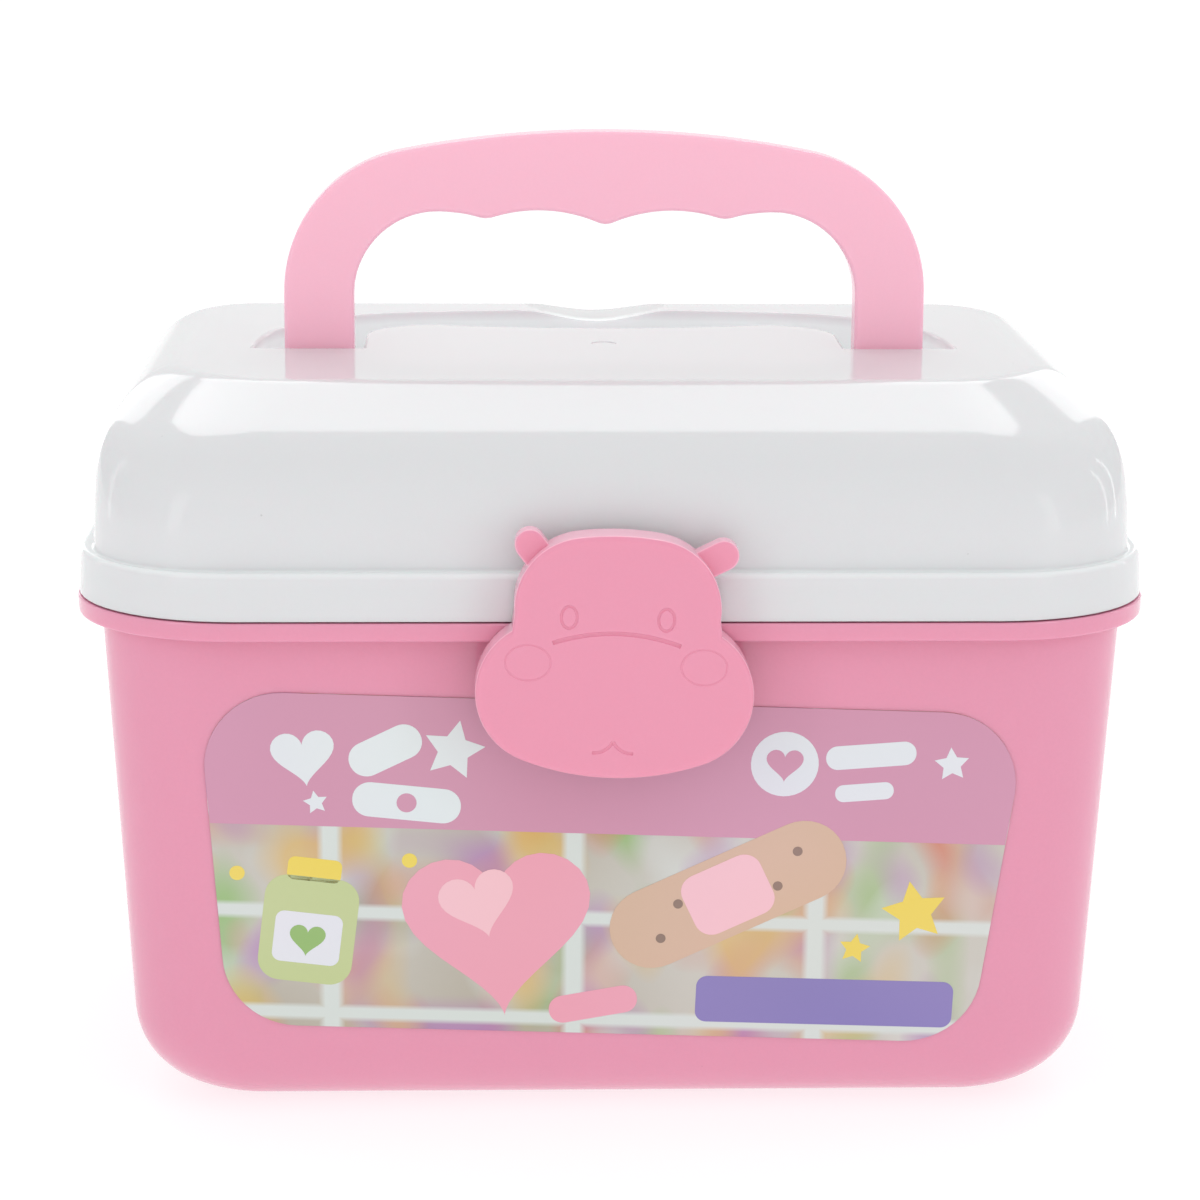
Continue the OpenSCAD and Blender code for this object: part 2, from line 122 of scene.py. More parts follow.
def loft(name: str, loops: Sequence[Sequence[Point]], ring: bool = False) -> Piece:
    """Skins a closed solid through closed loops, each one bridged to the next.

    Args:
        name: The piece's name.
        loops: Loops of points in millimetres, all with the same number of points.
        ring: Whether the last loop is joined to the first, instead of both being capped.

    Returns:
        The new piece.
    """
    count, ends = len(loops[0]), (0, len(loops) - 1)
    bpy.ops.object.select_all(action="DESELECT")
    bpy.ops.mesh.primitive_circle_add(vertices=count, radius=1, fill_type="NOTHING")
    obj = bpy.context.active_object
    obj.name = obj.data.name = name
    bpy.ops.object.mode_set(mode="EDIT")
    bpy.ops.mesh.select_mode(type="EDGE")
    for number in range(1, len(loops)):
        bpy.ops.mesh.primitive_circle_add(
            vertices=count, radius=1, fill_type="NOTHING", location=(0, 0, number))
    for number in range(ends[1]):
        select_rows(obj, count, (number, number + 1))
        bpy.ops.mesh.bridge_edge_loops()
    if ring:
        select_rows(obj, count, ends)
        bpy.ops.mesh.bridge_edge_loops()
    else:
        for end in ends:
            select_rows(obj, count, (end,))
            bpy.ops.mesh.edge_face_add()
    mesh = bmesh.from_edit_mesh(obj.data)
    mesh.verts.ensure_lookup_table()
    for vert, point in zip(mesh.verts, (point for loop in loops for point in loop)):
        vert.co = Vector(point) * MM
    bpy.ops.mesh.select_all(action="SELECT")
    bpy.ops.mesh.normals_make_consistent(inside=False)
    if bmesh.from_edit_mesh(obj.data).calc_volume(signed=True) < 0:
        bpy.ops.mesh.flip_normals()
    bpy.ops.object.mode_set(mode="OBJECT")
    return obj


def select_rows(obj: Piece, count: int, rows: tuple[int, ...]) -> None:
    """Selects some loops of a piece being lofted, without what joins them.

    Args:
        obj: The piece, in edit mode.
        count: How many points each loop has.
        rows: The numbers of the loops to select.
    """
    mesh = bmesh.from_edit_mesh(obj.data)
    mesh.verts.ensure_lookup_table()
    for face in mesh.faces:
        face.select_set(False)
    for edge in mesh.edges:
        a, b = (vert.index // count for vert in edge.verts)
        edge.select_set(a == b and a in rows)
    mesh.select_history.clear()
    bmesh.update_edit_mesh(obj.data)


def plate(name: str, outline: Outline, front: float, back: float) -> Piece:
    """Makes an upright plate from its outline in X and Z, between two depths in Y."""
    return loft(name, [[(x, y, z) for x, z in outline] for y in (front, back)])


def block(name: str, low: Point, high: Point, rounding: float = 0.0) -> Piece:
    """Makes a block between two corners.

    Args:
        name: The piece's name.
        low, high: Opposite corners, in millimetres.
        rounding: Radius of its edges, or 0 for sharp ones.

    Returns:
        The new piece.
    """
    centre = [(a + b) / 2 * MM for a, b in zip(low, high)]
    size = [(b - a) * MM for a, b in zip(low, high)]
    bpy.ops.object.select_all(action="DESELECT")
    bpy.ops.mesh.primitive_cube_add(size=1, location=centre, scale=size)
    obj = settle(name)
    if rounding:
        soften(obj, lambda edge: True, rounding, 3)
    return obj


def rod(name: str, radius: float, start: Point, end: Point) -> Piece:
    """Makes a round rod from one point to another.

    Args:
        name: The piece's name.
        radius: Its radius.
        start, end: The middles of its ends, in millimetres.

    Returns:
        The new piece.
    """
    a, b = Vector(start) * MM, Vector(end) * MM
    turn = (b - a).to_track_quat("Z", "Y").to_euler()
    bpy.ops.object.select_all(action="DESELECT")
    bpy.ops.mesh.primitive_cylinder_add(vertices=ROD_SIDES, radius=radius * MM,
                                        depth=(b - a).length, location=(a + b) / 2, rotation=turn)
    return settle(name)


def settle(name: str) -> Piece:
    """Names the active object and puts its place, turn and size into its mesh.

    Args:
        name: The object's name.

    Returns:
        The object.
    """
    obj = bpy.context.active_object
    obj.name = obj.data.name = name
    bpy.ops.object.transform_apply(location=True, rotation=True, scale=True)
    return obj


def soften(obj: Piece, wanted: Callable[[bmesh.types.BMEdge], bool], width: float,
           steps: int) -> None:
    """Bevels the edges of a piece that a test picks.

    Args:
        obj: The piece.
        wanted: Whether an edge is bevelled.
        width: The bevel's width in millimetres.
        steps: How many faces go round it.
    """
    pick(obj)
    bpy.ops.object.mode_set(mode="EDIT")
    bpy.ops.mesh.select_mode(type="EDGE")
    bpy.ops.mesh.select_all(action="DESELECT")
    mesh = bmesh.from_edit_mesh(obj.data)
    mesh.normal_update()
    for edge in mesh.edges:
        if wanted(edge):
            edge.select_set(True)
    bmesh.update_edit_mesh(obj.data)
    bpy.ops.mesh.bevel(offset=width * MM, offset_type="OFFSET", segments=steps,
                       profile=BEVEL_PROFILE, affect="EDGES", clamp_overlap=True)
    bpy.ops.object.mode_set(mode="OBJECT")


def sharp(edge: bmesh.types.BMEdge) -> bool:
    """Tells whether an edge is a sharp one."""
    return len(edge.link_faces) == 2 and edge.calc_face_angle(0.0) > math.radians(SHARP_TURN)


def work_in(obj: Piece, tool: Piece, how: Join) -> Piece:
    """Works a tool into a piece and takes the tool away.

    Args:
        obj: The piece.
        tool: What is added, cut out, or kept of the piece.
        how: Which of the three.

    Returns:
        The piece.
    """
    pick(obj)
    bpy.ops.object.modifier_add(type="BOOLEAN")
    step = obj.modifiers[-1]
    step.operation, step.object, step.solver = how.value, tool, "EXACT"
    bpy.ops.object.modifier_apply(modifier=step.name)
    bpy.data.objects.remove(tool, do_unlink=True)
    return obj


def even_out(obj: Piece, angle: float = 32.0) -> None:
    """Shades a piece smooth up to an angle, with flat faces kept flat.

    Args:
        obj: The piece.
        angle: The sharpest turn that is shaded smooth, in degrees.
    """
    pick(obj)
    bpy.ops.object.shade_smooth_by_angle(angle=math.radians(angle))
    bpy.ops.object.modifier_add(type="WEIGHTED_NORMAL")
    step = obj.modifiers[-1]
    step.keep_sharp, step.weight = True, FLAT_FACE_WEIGHT
    bpy.ops.object.modifier_apply(modifier=step.name)


def hand_over(obj: Piece, body: str, slot: str, finish: "Finish", *nodes: str) -> None:
    """Dresses a finished piece and hangs it on its body.

    Args:
        obj: The piece.
        body: The body that it moves with.
        slot: The record's material slot; not used.
        finish: What it is made of.
        nodes: The solids that it stands for.
    """
    obj.data.materials.clear()
    obj.data.materials.append(finish.material())
    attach(obj, body)
    if nodes:
        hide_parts(*nodes)
    log.info("%s: %d faces on %s", obj.name, len(obj.data.polygons), body)


# --- finishes -------------------------------------------------------------------


NOISE_SPAN = (0.3, 0.7)  # the part of a noise's range where most of its values lie
MIX_SHARE, MIX_FIRST, MIX_SECOND, MIX_RESULT = 0, 6, 7, 2  # the sockets of a colour mix
BLEND_SHARE, BLEND_FIRST, BLEND_SECOND, BLEND_RESULT = 0, 2, 3, 0  # and of a mix of values


class Shader:
    """A material's nodes, added one at a time."""

    def __init__(self, name: str) -> None:
        """Starts an empty material.

        Args:
            name: The material's name.
        """
        self.material = bpy.data.materials.new(name)
        self.material.use_nodes = True
        self.tree = self.material.node_tree
        self.surface = self.tree.nodes["Principled BSDF"]
        self.place = self.add("ShaderNodeTexCoord").outputs["Object"]

    def add(self, kind: str, links: dict | None = None, **settings: object) -> bpy.types.Node:
        """Adds a node.

        Args:
            kind: Blender's name for it.
            links: What goes into which input, a socket or a constant.
            settings: Its own properties.

        Returns:
            The node.
        """
        node = self.tree.nodes.new(kind)
        for key, value in settings.items():
            setattr(node, key, value)
        for key, value in (links or {}).items():
            self.feed(node, key, value)
        return node

    def feed(self, node: bpy.types.Node, key: str | int, value: object) -> None:
        """Links a socket to a node's input, or sets the input's value.

        Args:
            node: The node.
            key: The input's name or number.
            value: The socket, or the value.
        """
        if isinstance(value, Socket):
            self.tree.links.new(value, node.inputs[key])
        else:
            node.inputs[key].default_value = value

    def axis(self, name: str) -> Socket:
        """Gives one coordinate of the place on the piece, in metres."""
        return self.add("ShaderNodeSeparateXYZ", {0: self.place}).outputs[name]

    def noise(self, scale: float, detail: float = 2.0, place: Socket | None = None) -> Socket:
        """Gives a noise value over the piece.

        Args:
            scale: How many times it changes over a metre.
            detail: How many finer layers lie over it.
            place: Where it is read, if not at the plain place on the piece.

        Returns:
            The value, from 0 to 1.
        """
        links = {"Vector": place or self.place, "Scale": scale, "Detail": detail}
        return self.add("ShaderNodeTexNoise", links).outputs["Fac"]

    def ranged(self, value: Socket, low: float, high: float, to_low: float = 0.0,
               to_high: float = 1.0) -> Socket:
        """Maps a value from one range to another, clamped.

        Args:
            value: The value.
            low, high: The range that it comes from.
            to_low, to_high: The range that it is mapped to.

        Returns:
            The mapped value.
        """
        links = {"Value": value, "From Min": low, "From Max": high,
                 "To Min": to_low, "To Max": to_high}
        return self.add("ShaderNodeMapRange", links).outputs["Result"]

    def mixed(self, share: Socket | float, first: object, second: object) -> Socket:
        """Mixes two colours.

        Args:
            share: How much of the second there is, from 0 to 1.
            first, second: The colours.

        Returns:
            The mixed colour.
        """
        node = self.add("ShaderNodeMix", data_type="RGBA")
        self.feed(node, MIX_SHARE, share)
        self.feed(node, MIX_FIRST, first)
        self.feed(node, MIX_SECOND, second)
        return node.outputs[MIX_RESULT]

    def maths(self, operation: str, first: object, second: object = 0.0) -> Socket:
        """Works out one sum on two values.

        Args:
            operation: Blender's name for it.
            first, second: The values.

        Returns:
            The result.
        """
        node = self.add("ShaderNodeMath", operation=operation)
        self.feed(node, 0, first)
        self.feed(node, 1, second)
        return node.outputs[0]

    def bump(self, height: Socket, depth: float) -> Socket:
        """Gives a bump of that depth in metres."""
        links = {"Height": height, "Distance": depth, "Strength": 1.0}
        return self.add("ShaderNodeBump", links).outputs["Normal"]


def rgba(colour: Colour, gain: float = 1.0) -> tuple[float, float, float, float]:
    """Gives a colour with its alpha, made brighter or darker."""
    return (*(min(1.0, c * gain) for c in colour), 1.0)


class Finish:
    """What a piece is made of. Each kind makes its material once."""

    def material(self) -> bpy.types.Material:
        """Gives the finish's material, made at its first use."""
        return bpy.data.materials.get(self.name) or self.make()  # type: ignore[attr-defined]

    def make(self) -> bpy.types.Material:
        """Makes the material."""
        raise NotImplementedError


@dataclass(frozen=True)
class PaintedGlowZones:
    """Where the white lid has painted light: an emission that brightens its recess and round it,
    and a painted highlight line along its ledge.

    Each pair gives where the painted light starts to fade and where it ends, in metres.
    """

    under_deck: tuple[float, float] = (0.1615, 0.1638)
    sideways: tuple[float, float] = (0.0845, 0.086)
    backwards: tuple[float, float] = (0.061, 0.066)
    forwards: tuple[float, float] = (0.005, 0.0055)
    ledge_low: tuple[float, float] = (0.1274, 0.1282)
    ledge_high: tuple[float, float] = (0.1286, 0.129)
    ledge_share: float = 0.6
    tint: Colour = (0.82, 1.0, 0.94)


PAINTED_GLOW_ZONES = PaintedGlowZones()


@dataclass(frozen=True)
class MouldedPlastic(Finish):
    """Injection-moulded plastic: a clean gloss with slight flow marks, ripple and moulding specks.

    The scales count changes over a metre, and the other lengths are in metres. ripple is how deep
    the waves in the gloss are, specks how strong the moulding specks are, glow how much light
    spreads inside, painted_glow how strong the painted light is in the lid's recess and on its
    ledge, and rim how strong the painted highlight is where the piece is seen edge-on.
    """

    name: str
    colour: Colour
    roughness: float = 0.1
    mottle: float = 0.02
    ripple: float = 0.00003
    specks: float = 0.25
    glow: float = 0.15
    # strength of the painted light: emission in the lid's recess and along its ledge
    painted_glow: float = 0.0
    # strength of the painted highlight where the piece is seen edge-on
    rim: float = 0.0
    ior: float = 1.49
    flow_scale: float = 12.0
    grain_scale: float = 1400.0
    speck_scale: float = 70.0
    speck_edge: tuple[float, float] = (0.012, 0.022)
    speck_spread: float = 33.0
    speck_share: tuple[float, float] = (0.6, 0.62)
    flow_span: tuple[float, float] = (0.6, 1.4)
    wear_scale: float = 60.0
    ripple_scale: float = 28.0
    roughness_play: float = 0.12
    speck_shade: float = 0.35
    glow_depth: float = 0.004
    glow_tint: Colour = (1.0, 0.6, 0.7)
    rim_highlight_colour: Colour = (1.0, 0.56, 0.69)
    rim_facing: tuple[float, float] = (0.15, 0.5)
    rim_y: tuple[float, float] = (-0.1026, -0.1023)

    def make(self) -> bpy.types.Material:
        """Makes the plastic's material.

        Returns:
            The material.
        """
        s = Shader(self.name)
        s.feed(s.surface, "Base Color", self.paint_rim_highlight(s, self.specked(s)))
        low, high = 1 - self.roughness_play, 1 + self.roughness_play
        s.feed(s.surface, "Roughness", s.ranged(s.noise(self.wear_scale, 4.0), *NOISE_SPAN,
                                                self.roughness * low, self.roughness * high))
        s.feed(s.surface, "Normal", s.bump(s.noise(self.ripple_scale, 1.0), self.ripple))
        s.feed(s.surface, "IOR", self.ior)
        s.feed(s.surface, "Subsurface Weight", self.glow)
        s.feed(s.surface, "Subsurface Scale", self.glow_depth)
        s.feed(s.surface, "Subsurface Radius", self.glow_tint)
        # painted light: the white lid glows in its recess and along its ledge, though it is no lamp
        if self.painted_glow:
            self.paint_recess_glow(s)
        return s.material

    def specked(self, s: Shader) -> Socket:
        """Gives the plastic's colour, with slow flow marks, a fine grain and rare dark specks.

        Args:
            s: The material's nodes.

        Returns:
            The colour.
        """
        flow = s.maths("ADD", s.noise(self.flow_scale, 1.0), s.noise(self.grain_scale, 1.0))
        base = s.mixed(s.ranged(flow, *self.flow_span), rgba(self.colour, 1 - self.mottle),
                       rgba(self.colour, 1 + self.mottle))
        dots = s.add("ShaderNodeTexVoronoi", {
            "Vector": s.place, "Scale": self.speck_scale, "Randomness": 1.0})
        near = s.ranged(dots.outputs["Distance"], *self.speck_edge, 1.0, 0.0)
        rare = s.ranged(s.noise(self.speck_spread, 0.0), *self.speck_share)
        share = s.maths("MULTIPLY", s.maths("MULTIPLY", near, rare), self.specks)
        return s.mixed(share, base, rgba(self.colour, self.speck_shade))

    def paint_rim_highlight(self, s: Shader, base: Socket) -> Socket:
        """Paints a highlight: makes a colour paler where it is seen edge-on, but not in the latch's
        engraved lines.

        Args:
            s: The material's nodes.
            base: The colour.

        Returns:
            The edged colour.
        """
        # painted rim highlight: paler colour where the surface is seen edge-on
        facing = s.add("ShaderNodeLayerWeight", {"Blend": 0.5}).outputs["Facing"]
        edge = s.maths("MULTIPLY", s.ranged(facing, *self.rim_facing, 0.0, self.rim),
                       s.ranged(s.axis("Y"), *self.rim_y))
        return s.mixed(edge, base, rgba(self.rim_highlight_colour))

    def paint_recess_glow(self, s: Shader) -> None:
        """Paints light on the lid as emission: a glow that brightens its recess and a highlight
        line along its ledge.

        Args:
            s: The material's nodes.
        """
        x, y, z = (s.axis(name) for name in "XYZ")
        share = s.ranged(z, *PAINTED_GLOW_ZONES.under_deck, 1.0, 0.0)
        for value, limits in ((s.maths("ABSOLUTE", x), PAINTED_GLOW_ZONES.sideways), (y, PAINTED_GLOW_ZONES.backwards),
                              (s.maths("MULTIPLY", y, -1.0), PAINTED_GLOW_ZONES.forwards)):
            share = s.maths("MULTIPLY", share, s.ranged(value, *limits, 1.0, 0.0))
        ledge = s.maths("MULTIPLY", s.ranged(z, *PAINTED_GLOW_ZONES.ledge_low, 0.0, PAINTED_GLOW_ZONES.ledge_share),
                        s.ranged(z, *PAINTED_GLOW_ZONES.ledge_high, 1.0, 0.0))
        # painted glow in the recess and painted highlight on the ledge, given as emission
        s.feed(s.surface, "Emission Color", rgba(PAINTED_GLOW_ZONES.tint))
        s.feed(s.surface, "Emission Strength",
               s.maths("MULTIPLY", s.maths("ADD", share, ledge), self.painted_glow))


@dataclass(frozen=True)
class PearlSheen:
    """The label's slow changes of hue. The scales count changes over a metre."""

    hue_scale: float = 9.0
    strength_scale: float = 15.0
    strength_span: tuple[float, float] = (0.3, 0.8)
    hues: tuple[float, float] = (0.35, 0.95)
    saturation: float = 0.28
    value: float = 0.92


@dataclass(frozen=True)
class ClearFilm:
    """The label's clear film. The scales count changes over a metre."""

    wear_scale: float = 40.0
    ripple_scale: float = 70.0
    ripple: float = 0.00002
    roughness: tuple[float, float] = (0.17, 0.22)
    ior: float = 1.5


PEARL = PearlSheen()
FILM = ClearFilm()


@dataclass(frozen=True)
class Ink(Finish):
    """One printed colour under a glossy film, with a faint pearly sheen."""

    name: str
    colour: Colour
    pearl: float = 0.12

    def make(self) -> bpy.types.Material:
        """Makes the ink's material.

        Returns:
            The material.
        """
        s = Shader(self.name)
        s.feed(s.surface, "Base Color", sheen(s, rgba(self.colour), self.pearl))
        film(s)
        return s.material


@dataclass(frozen=True)
class SoftPicture(Finish):
    """The label's ground: pale, out-of-focus shelves with a play of toy colours on them.

    rows and bays are the distances between the boards and between the uprights, in metres,
    halved. lean is the boards' slope, and bay_start shifts the uprights to the left.
    """

    name: str
    board: Colour
    back: Colour
    shade: Colour
    blobs: tuple[Colour, ...]
    rows: float = 0.012
    bays: float = 0.027
    lean: float = 0.033
    bay_start: float = 0.009
    board_edge: tuple[float, float] = (0.001, 0.0022)
    upright_edge: tuple[float, float] = (0.0014, 0.003)
    wall_scale: float = 14.0
    wall_span: tuple[float, float] = (0.35, 0.65)
    blob_scale: float = 62.0
    blob_range: tuple[float, float] = (0.52, 0.76)
    blob_strength: float = 0.75
    blob_shift: tuple[float, float] = (0.37, 0.61)
    blob_height: float = 0.8
    pearl: float = 0.1

    def make(self) -> bpy.types.Material:
        """Makes the ground's material.

        Returns:
            The material.
        """
        s = Shader(self.name)
        base = s.mixed(s.ranged(s.noise(self.wall_scale, 1.0), *self.wall_span),
                       rgba(self.shade), rgba(self.back))
        for number, colour in enumerate(self.blobs):
            across, up = (shift * number for shift in self.blob_shift)
            moved = s.add("ShaderNodeMapping", {
                "Vector": s.place, "Location": (across, 0.0, up),
                "Scale": (1.0, 0.0, self.blob_height)}).outputs["Vector"]
            share = s.ranged(s.noise(self.blob_scale, 0.0, moved), *self.blob_range,
                             0.0, self.blob_strength)
            base = s.mixed(share, base, rgba(colour))
        x = s.axis("X")
        height = s.maths("ADD", s.axis("Z"), s.maths("MULTIPLY", x, self.lean))
        rows = s.ranged(s.maths("PINGPONG", height, self.rows), *self.board_edge, 1.0, 0.0)
        start = s.maths("ADD", x, self.bay_start)
        bays = s.ranged(s.maths("PINGPONG", start, self.bays), *self.upright_edge, 1.0, 0.0)
        base = s.mixed(s.maths("MAXIMUM", rows, bays), base, rgba(self.board))
        s.feed(s.surface, "Base Color", sheen(s, base, self.pearl))
        film(s)
        return s.material


def sheen(s: Shader, base: object, strength: float) -> Socket:
    """Tints a printed colour with slow pearly changes of hue.

    Args:
        s: The material's nodes.
        base: The colour, or the socket that gives it.
        strength: How strong the tint is.

    Returns:
        The tinted colour.
    """
    hue = s.ranged(s.noise(PEARL.hue_scale, 1.0), *NOISE_SPAN, *PEARL.hues)
    links = {0: hue, 1: PEARL.saturation, 2: PEARL.value}
    tint = s.add("ShaderNodeCombineColor", links, mode="HSV").outputs[0]
    share = s.ranged(s.noise(PEARL.strength_scale, 1.0), *PEARL.strength_span, 0.0, strength)
    return s.mixed(share, base, tint)


def film(s: Shader) -> None:
    """Gives a printed surface its clear glossy film, a little uneven over the wall.

    Args:
        s: The material's nodes.
    """
    s.feed(s.surface, "Roughness",
           s.ranged(s.noise(FILM.wear_scale, 3.0), *NOISE_SPAN, *FILM.roughness))
    s.feed(s.surface, "Normal", s.bump(s.noise(FILM.ripple_scale, 2.0), FILM.ripple))
    s.feed(s.surface, "IOR", FILM.ior)


@dataclass(frozen=True)
class Palette:
    """The case's finishes."""

    bin_pink: MouldedPlastic = MouldedPlastic(
        "rose_gloss", (0.77, 0.302, 0.43), 0.06, 0.015, glow=0.25)
    # the white lid also carries painted light: emission in its recess and a highlight line on its
    # ledge
    white: MouldedPlastic = MouldedPlastic(
        "white_gloss", (0.72, 0.72, 0.735), 0.08, 0.006, specks=0.3, glow=0.3, painted_glow=0.17,
        ior=1.34)
    # rim: a painted highlight on the handle's and latch's edges where they are seen edge-on
    handle_pink: MouldedPlastic = MouldedPlastic(
        "pale_rose_satin", (0.975, 0.51, 0.64), 0.2, 0.01, glow=0.2, rim=0.3)
    latch_pink: MouldedPlastic = MouldedPlastic(
        "rose_satin", (0.81, 0.305, 0.43), 0.2, 0.01, glow=0.2, rim=0.7)
    mauve: Ink = Ink("ink_mauve", (0.595, 0.27, 0.39), 0.08)
    pearl: Ink = Ink("ink_pearl", (0.72, 0.75, 0.76), 0.3)
    rose: Ink = Ink("ink_rose", (0.80, 0.33, 0.42))
    blush: Ink = Ink("ink_blush", (0.86, 0.50, 0.55))
    lime: Ink = Ink("ink_lime", (0.50, 0.58, 0.25))
    leaf: Ink = Ink("ink_leaf", (0.25, 0.45, 0.10))
    sand: Ink = Ink("ink_sand", (0.62, 0.42, 0.28))
    brown: Ink = Ink("ink_brown", (0.22, 0.14, 0.08))
    yellow: Ink = Ink("ink_yellow", (0.80, 0.62, 0.05))
    violet: Ink = Ink("ink_violet", (0.19, 0.16, 0.44))
    picture: SoftPicture = SoftPicture(
        "label_picture", (0.63, 0.68, 0.64), (0.54, 0.53, 0.46), (0.42, 0.37, 0.29),
        ((0.20, 0.45, 0.06), (0.62, 0.14, 0.05), (0.62, 0.66, 0.62), (0.40, 0.14, 0.44),
         (0.66, 0.42, 0.08)))


FINISH = Palette()


# --- rounded walls --------------------------------------------------------------


@dataclass(frozen=True)
class Level:
    """One level of a rounded-rectangle wall.

    inset is how far it is set in from the flange's edge, z its height, corner its corner
    radius seen from above, fillet the radius between the wall below and the wall above, and
    brow how much further its front side is set in.
    """

    inset: float
    z: float
    corner: float
    fillet: float = 0.0
    brow: float = 0.0


@dataclass(frozen=True)
class Rim:
    """The flange's size, which every wall of the case is set in from.

    brow_soft is how much rounder the two front corners are where the front is set in more.
    """

    width: float = 240.0
    depth: float = 188.0
    corner: float = 37.0
    brow_soft: float = 0.7
    corner_steps: int = 14

    def loop(self, level: Level) -> list[Point]:
        """Gives the points round one level.

        Args:
            level: The level.

        Returns:
            The points, in millimetres.
        """
        points = []
        for quarter, (sx, sy) in enumerate(((1, 1), (-1, 1), (-1, -1), (1, -1))):
            brow = level.brow if sy < 0 else 0.0
            r = level.corner + self.brow_soft * brow
            cx = sx * (self.width / 2 - level.inset - r)
            cy = sy * (self.depth / 2 - level.inset - brow - r)
            start = 90 * quarter
            points += [(x, y, level.z)
                       for x, y in arc(cx, cy, r, start, start + 90, self.corner_steps)]
        return points

    def shell(self, name: str, levels: Sequence[Level]) -> Piece:
        """Makes a solid through levels, with each fillet rounded."""
        return loft(name, [self.loop(level) for level in filleted(levels)])


FILLET_STEPS = 4
FILLET_REACH = 0.45  # the share of the wall beside it that a fillet takes at most


def filleted(levels: Sequence[Level]) -> list[Level]:
    """Rounds the levels that have a fillet.

    Args:
        levels: The levels, in order along the wall.

    Returns:
        The levels, with each fillet's own levels in place of its corner.
    """
    done = [levels[0]]
    for before, here, after in zip(levels, levels[1:], levels[2:]):
        if not here.fillet:
            done.append(here)
            continue
        a = Vector((before.inset - here.inset, before.z - here.z))
        b = Vector((after.inset - here.inset, after.z - here.z))
        half = a.angle(b) / 2
        reach = min(here.fillet / math.tan(half), FILLET_REACH * a.length,
                    FILLET_REACH * b.length)
        ends = [(between(here.inset, other.inset, reach / leg),
                 between(here.z, other.z, reach / leg),
                 between(here.corner, other.corner, reach / leg))
                for other, leg in ((before, a.length), (after, b.length))]
        middle = (here.inset, here.z, here.corner)
        for i in range(FILLET_STEPS + 1):
            t = i / FILLET_STEPS
            share = ((1 - t) ** 2, 2 * t * (1 - t) * math.sin(half), t ** 2)
            done.append(Level(*(
                sum(k * v for k, v in zip(share, values)) / sum(share)
                for values in zip(ends[0], middle, ends[1]))))
    done.append(levels[-1])
    return done


@dataclass(frozen=True)
class Hinge:
    """The two rear hinges that the lid turns on."""

    x: float = 60.0
    y: float = 97.8
    z: float = 117.95
    radius: float = 3.4
    pin_radius: float = 1.5
    lid_width: float = 12.0
    bin_width: float = 7.0
    gap: float = 0.5
    root_y: float = 92.5
    rounding: float = 0.4

    def knuckle(self, name: str, start: float, end: float, low: float, high: float) -> Piece:
        """Makes one knuckle: a barrel and the foot that joins it to the wall.

        Args:
            name: The piece's name.
            start, end: Its ends in X.
            low, high: The foot's heights.

        Returns:
            The knuckle.
        """
        barrel = rod(name, self.radius, (start, self.y, self.z), (end, self.y, self.z))
        soften(barrel, sharp, self.rounding, 2)
        foot = block("foot", (start, self.root_y, low), (end, self.y, high))
        return work_in(barrel, foot, Join.ADD)

    def bore(self, x: float, reach: float, spare: float) -> Piece:
        """Makes the tool for one hinge's bore.

        Args:
            x: The hinge's middle.
            reach: How far the tool goes to each side of it.
            spare: How much the bore's radius is over the pin's.

        Returns:
            The tool.
        """
        return rod("bore", self.pin_radius + spare, (x - reach, self.y, self.z),
                   (x + reach, self.y, self.z))


RIM = Rim()
HINGE = Hinge()


# --- bin ------------------------------------------------------------------------


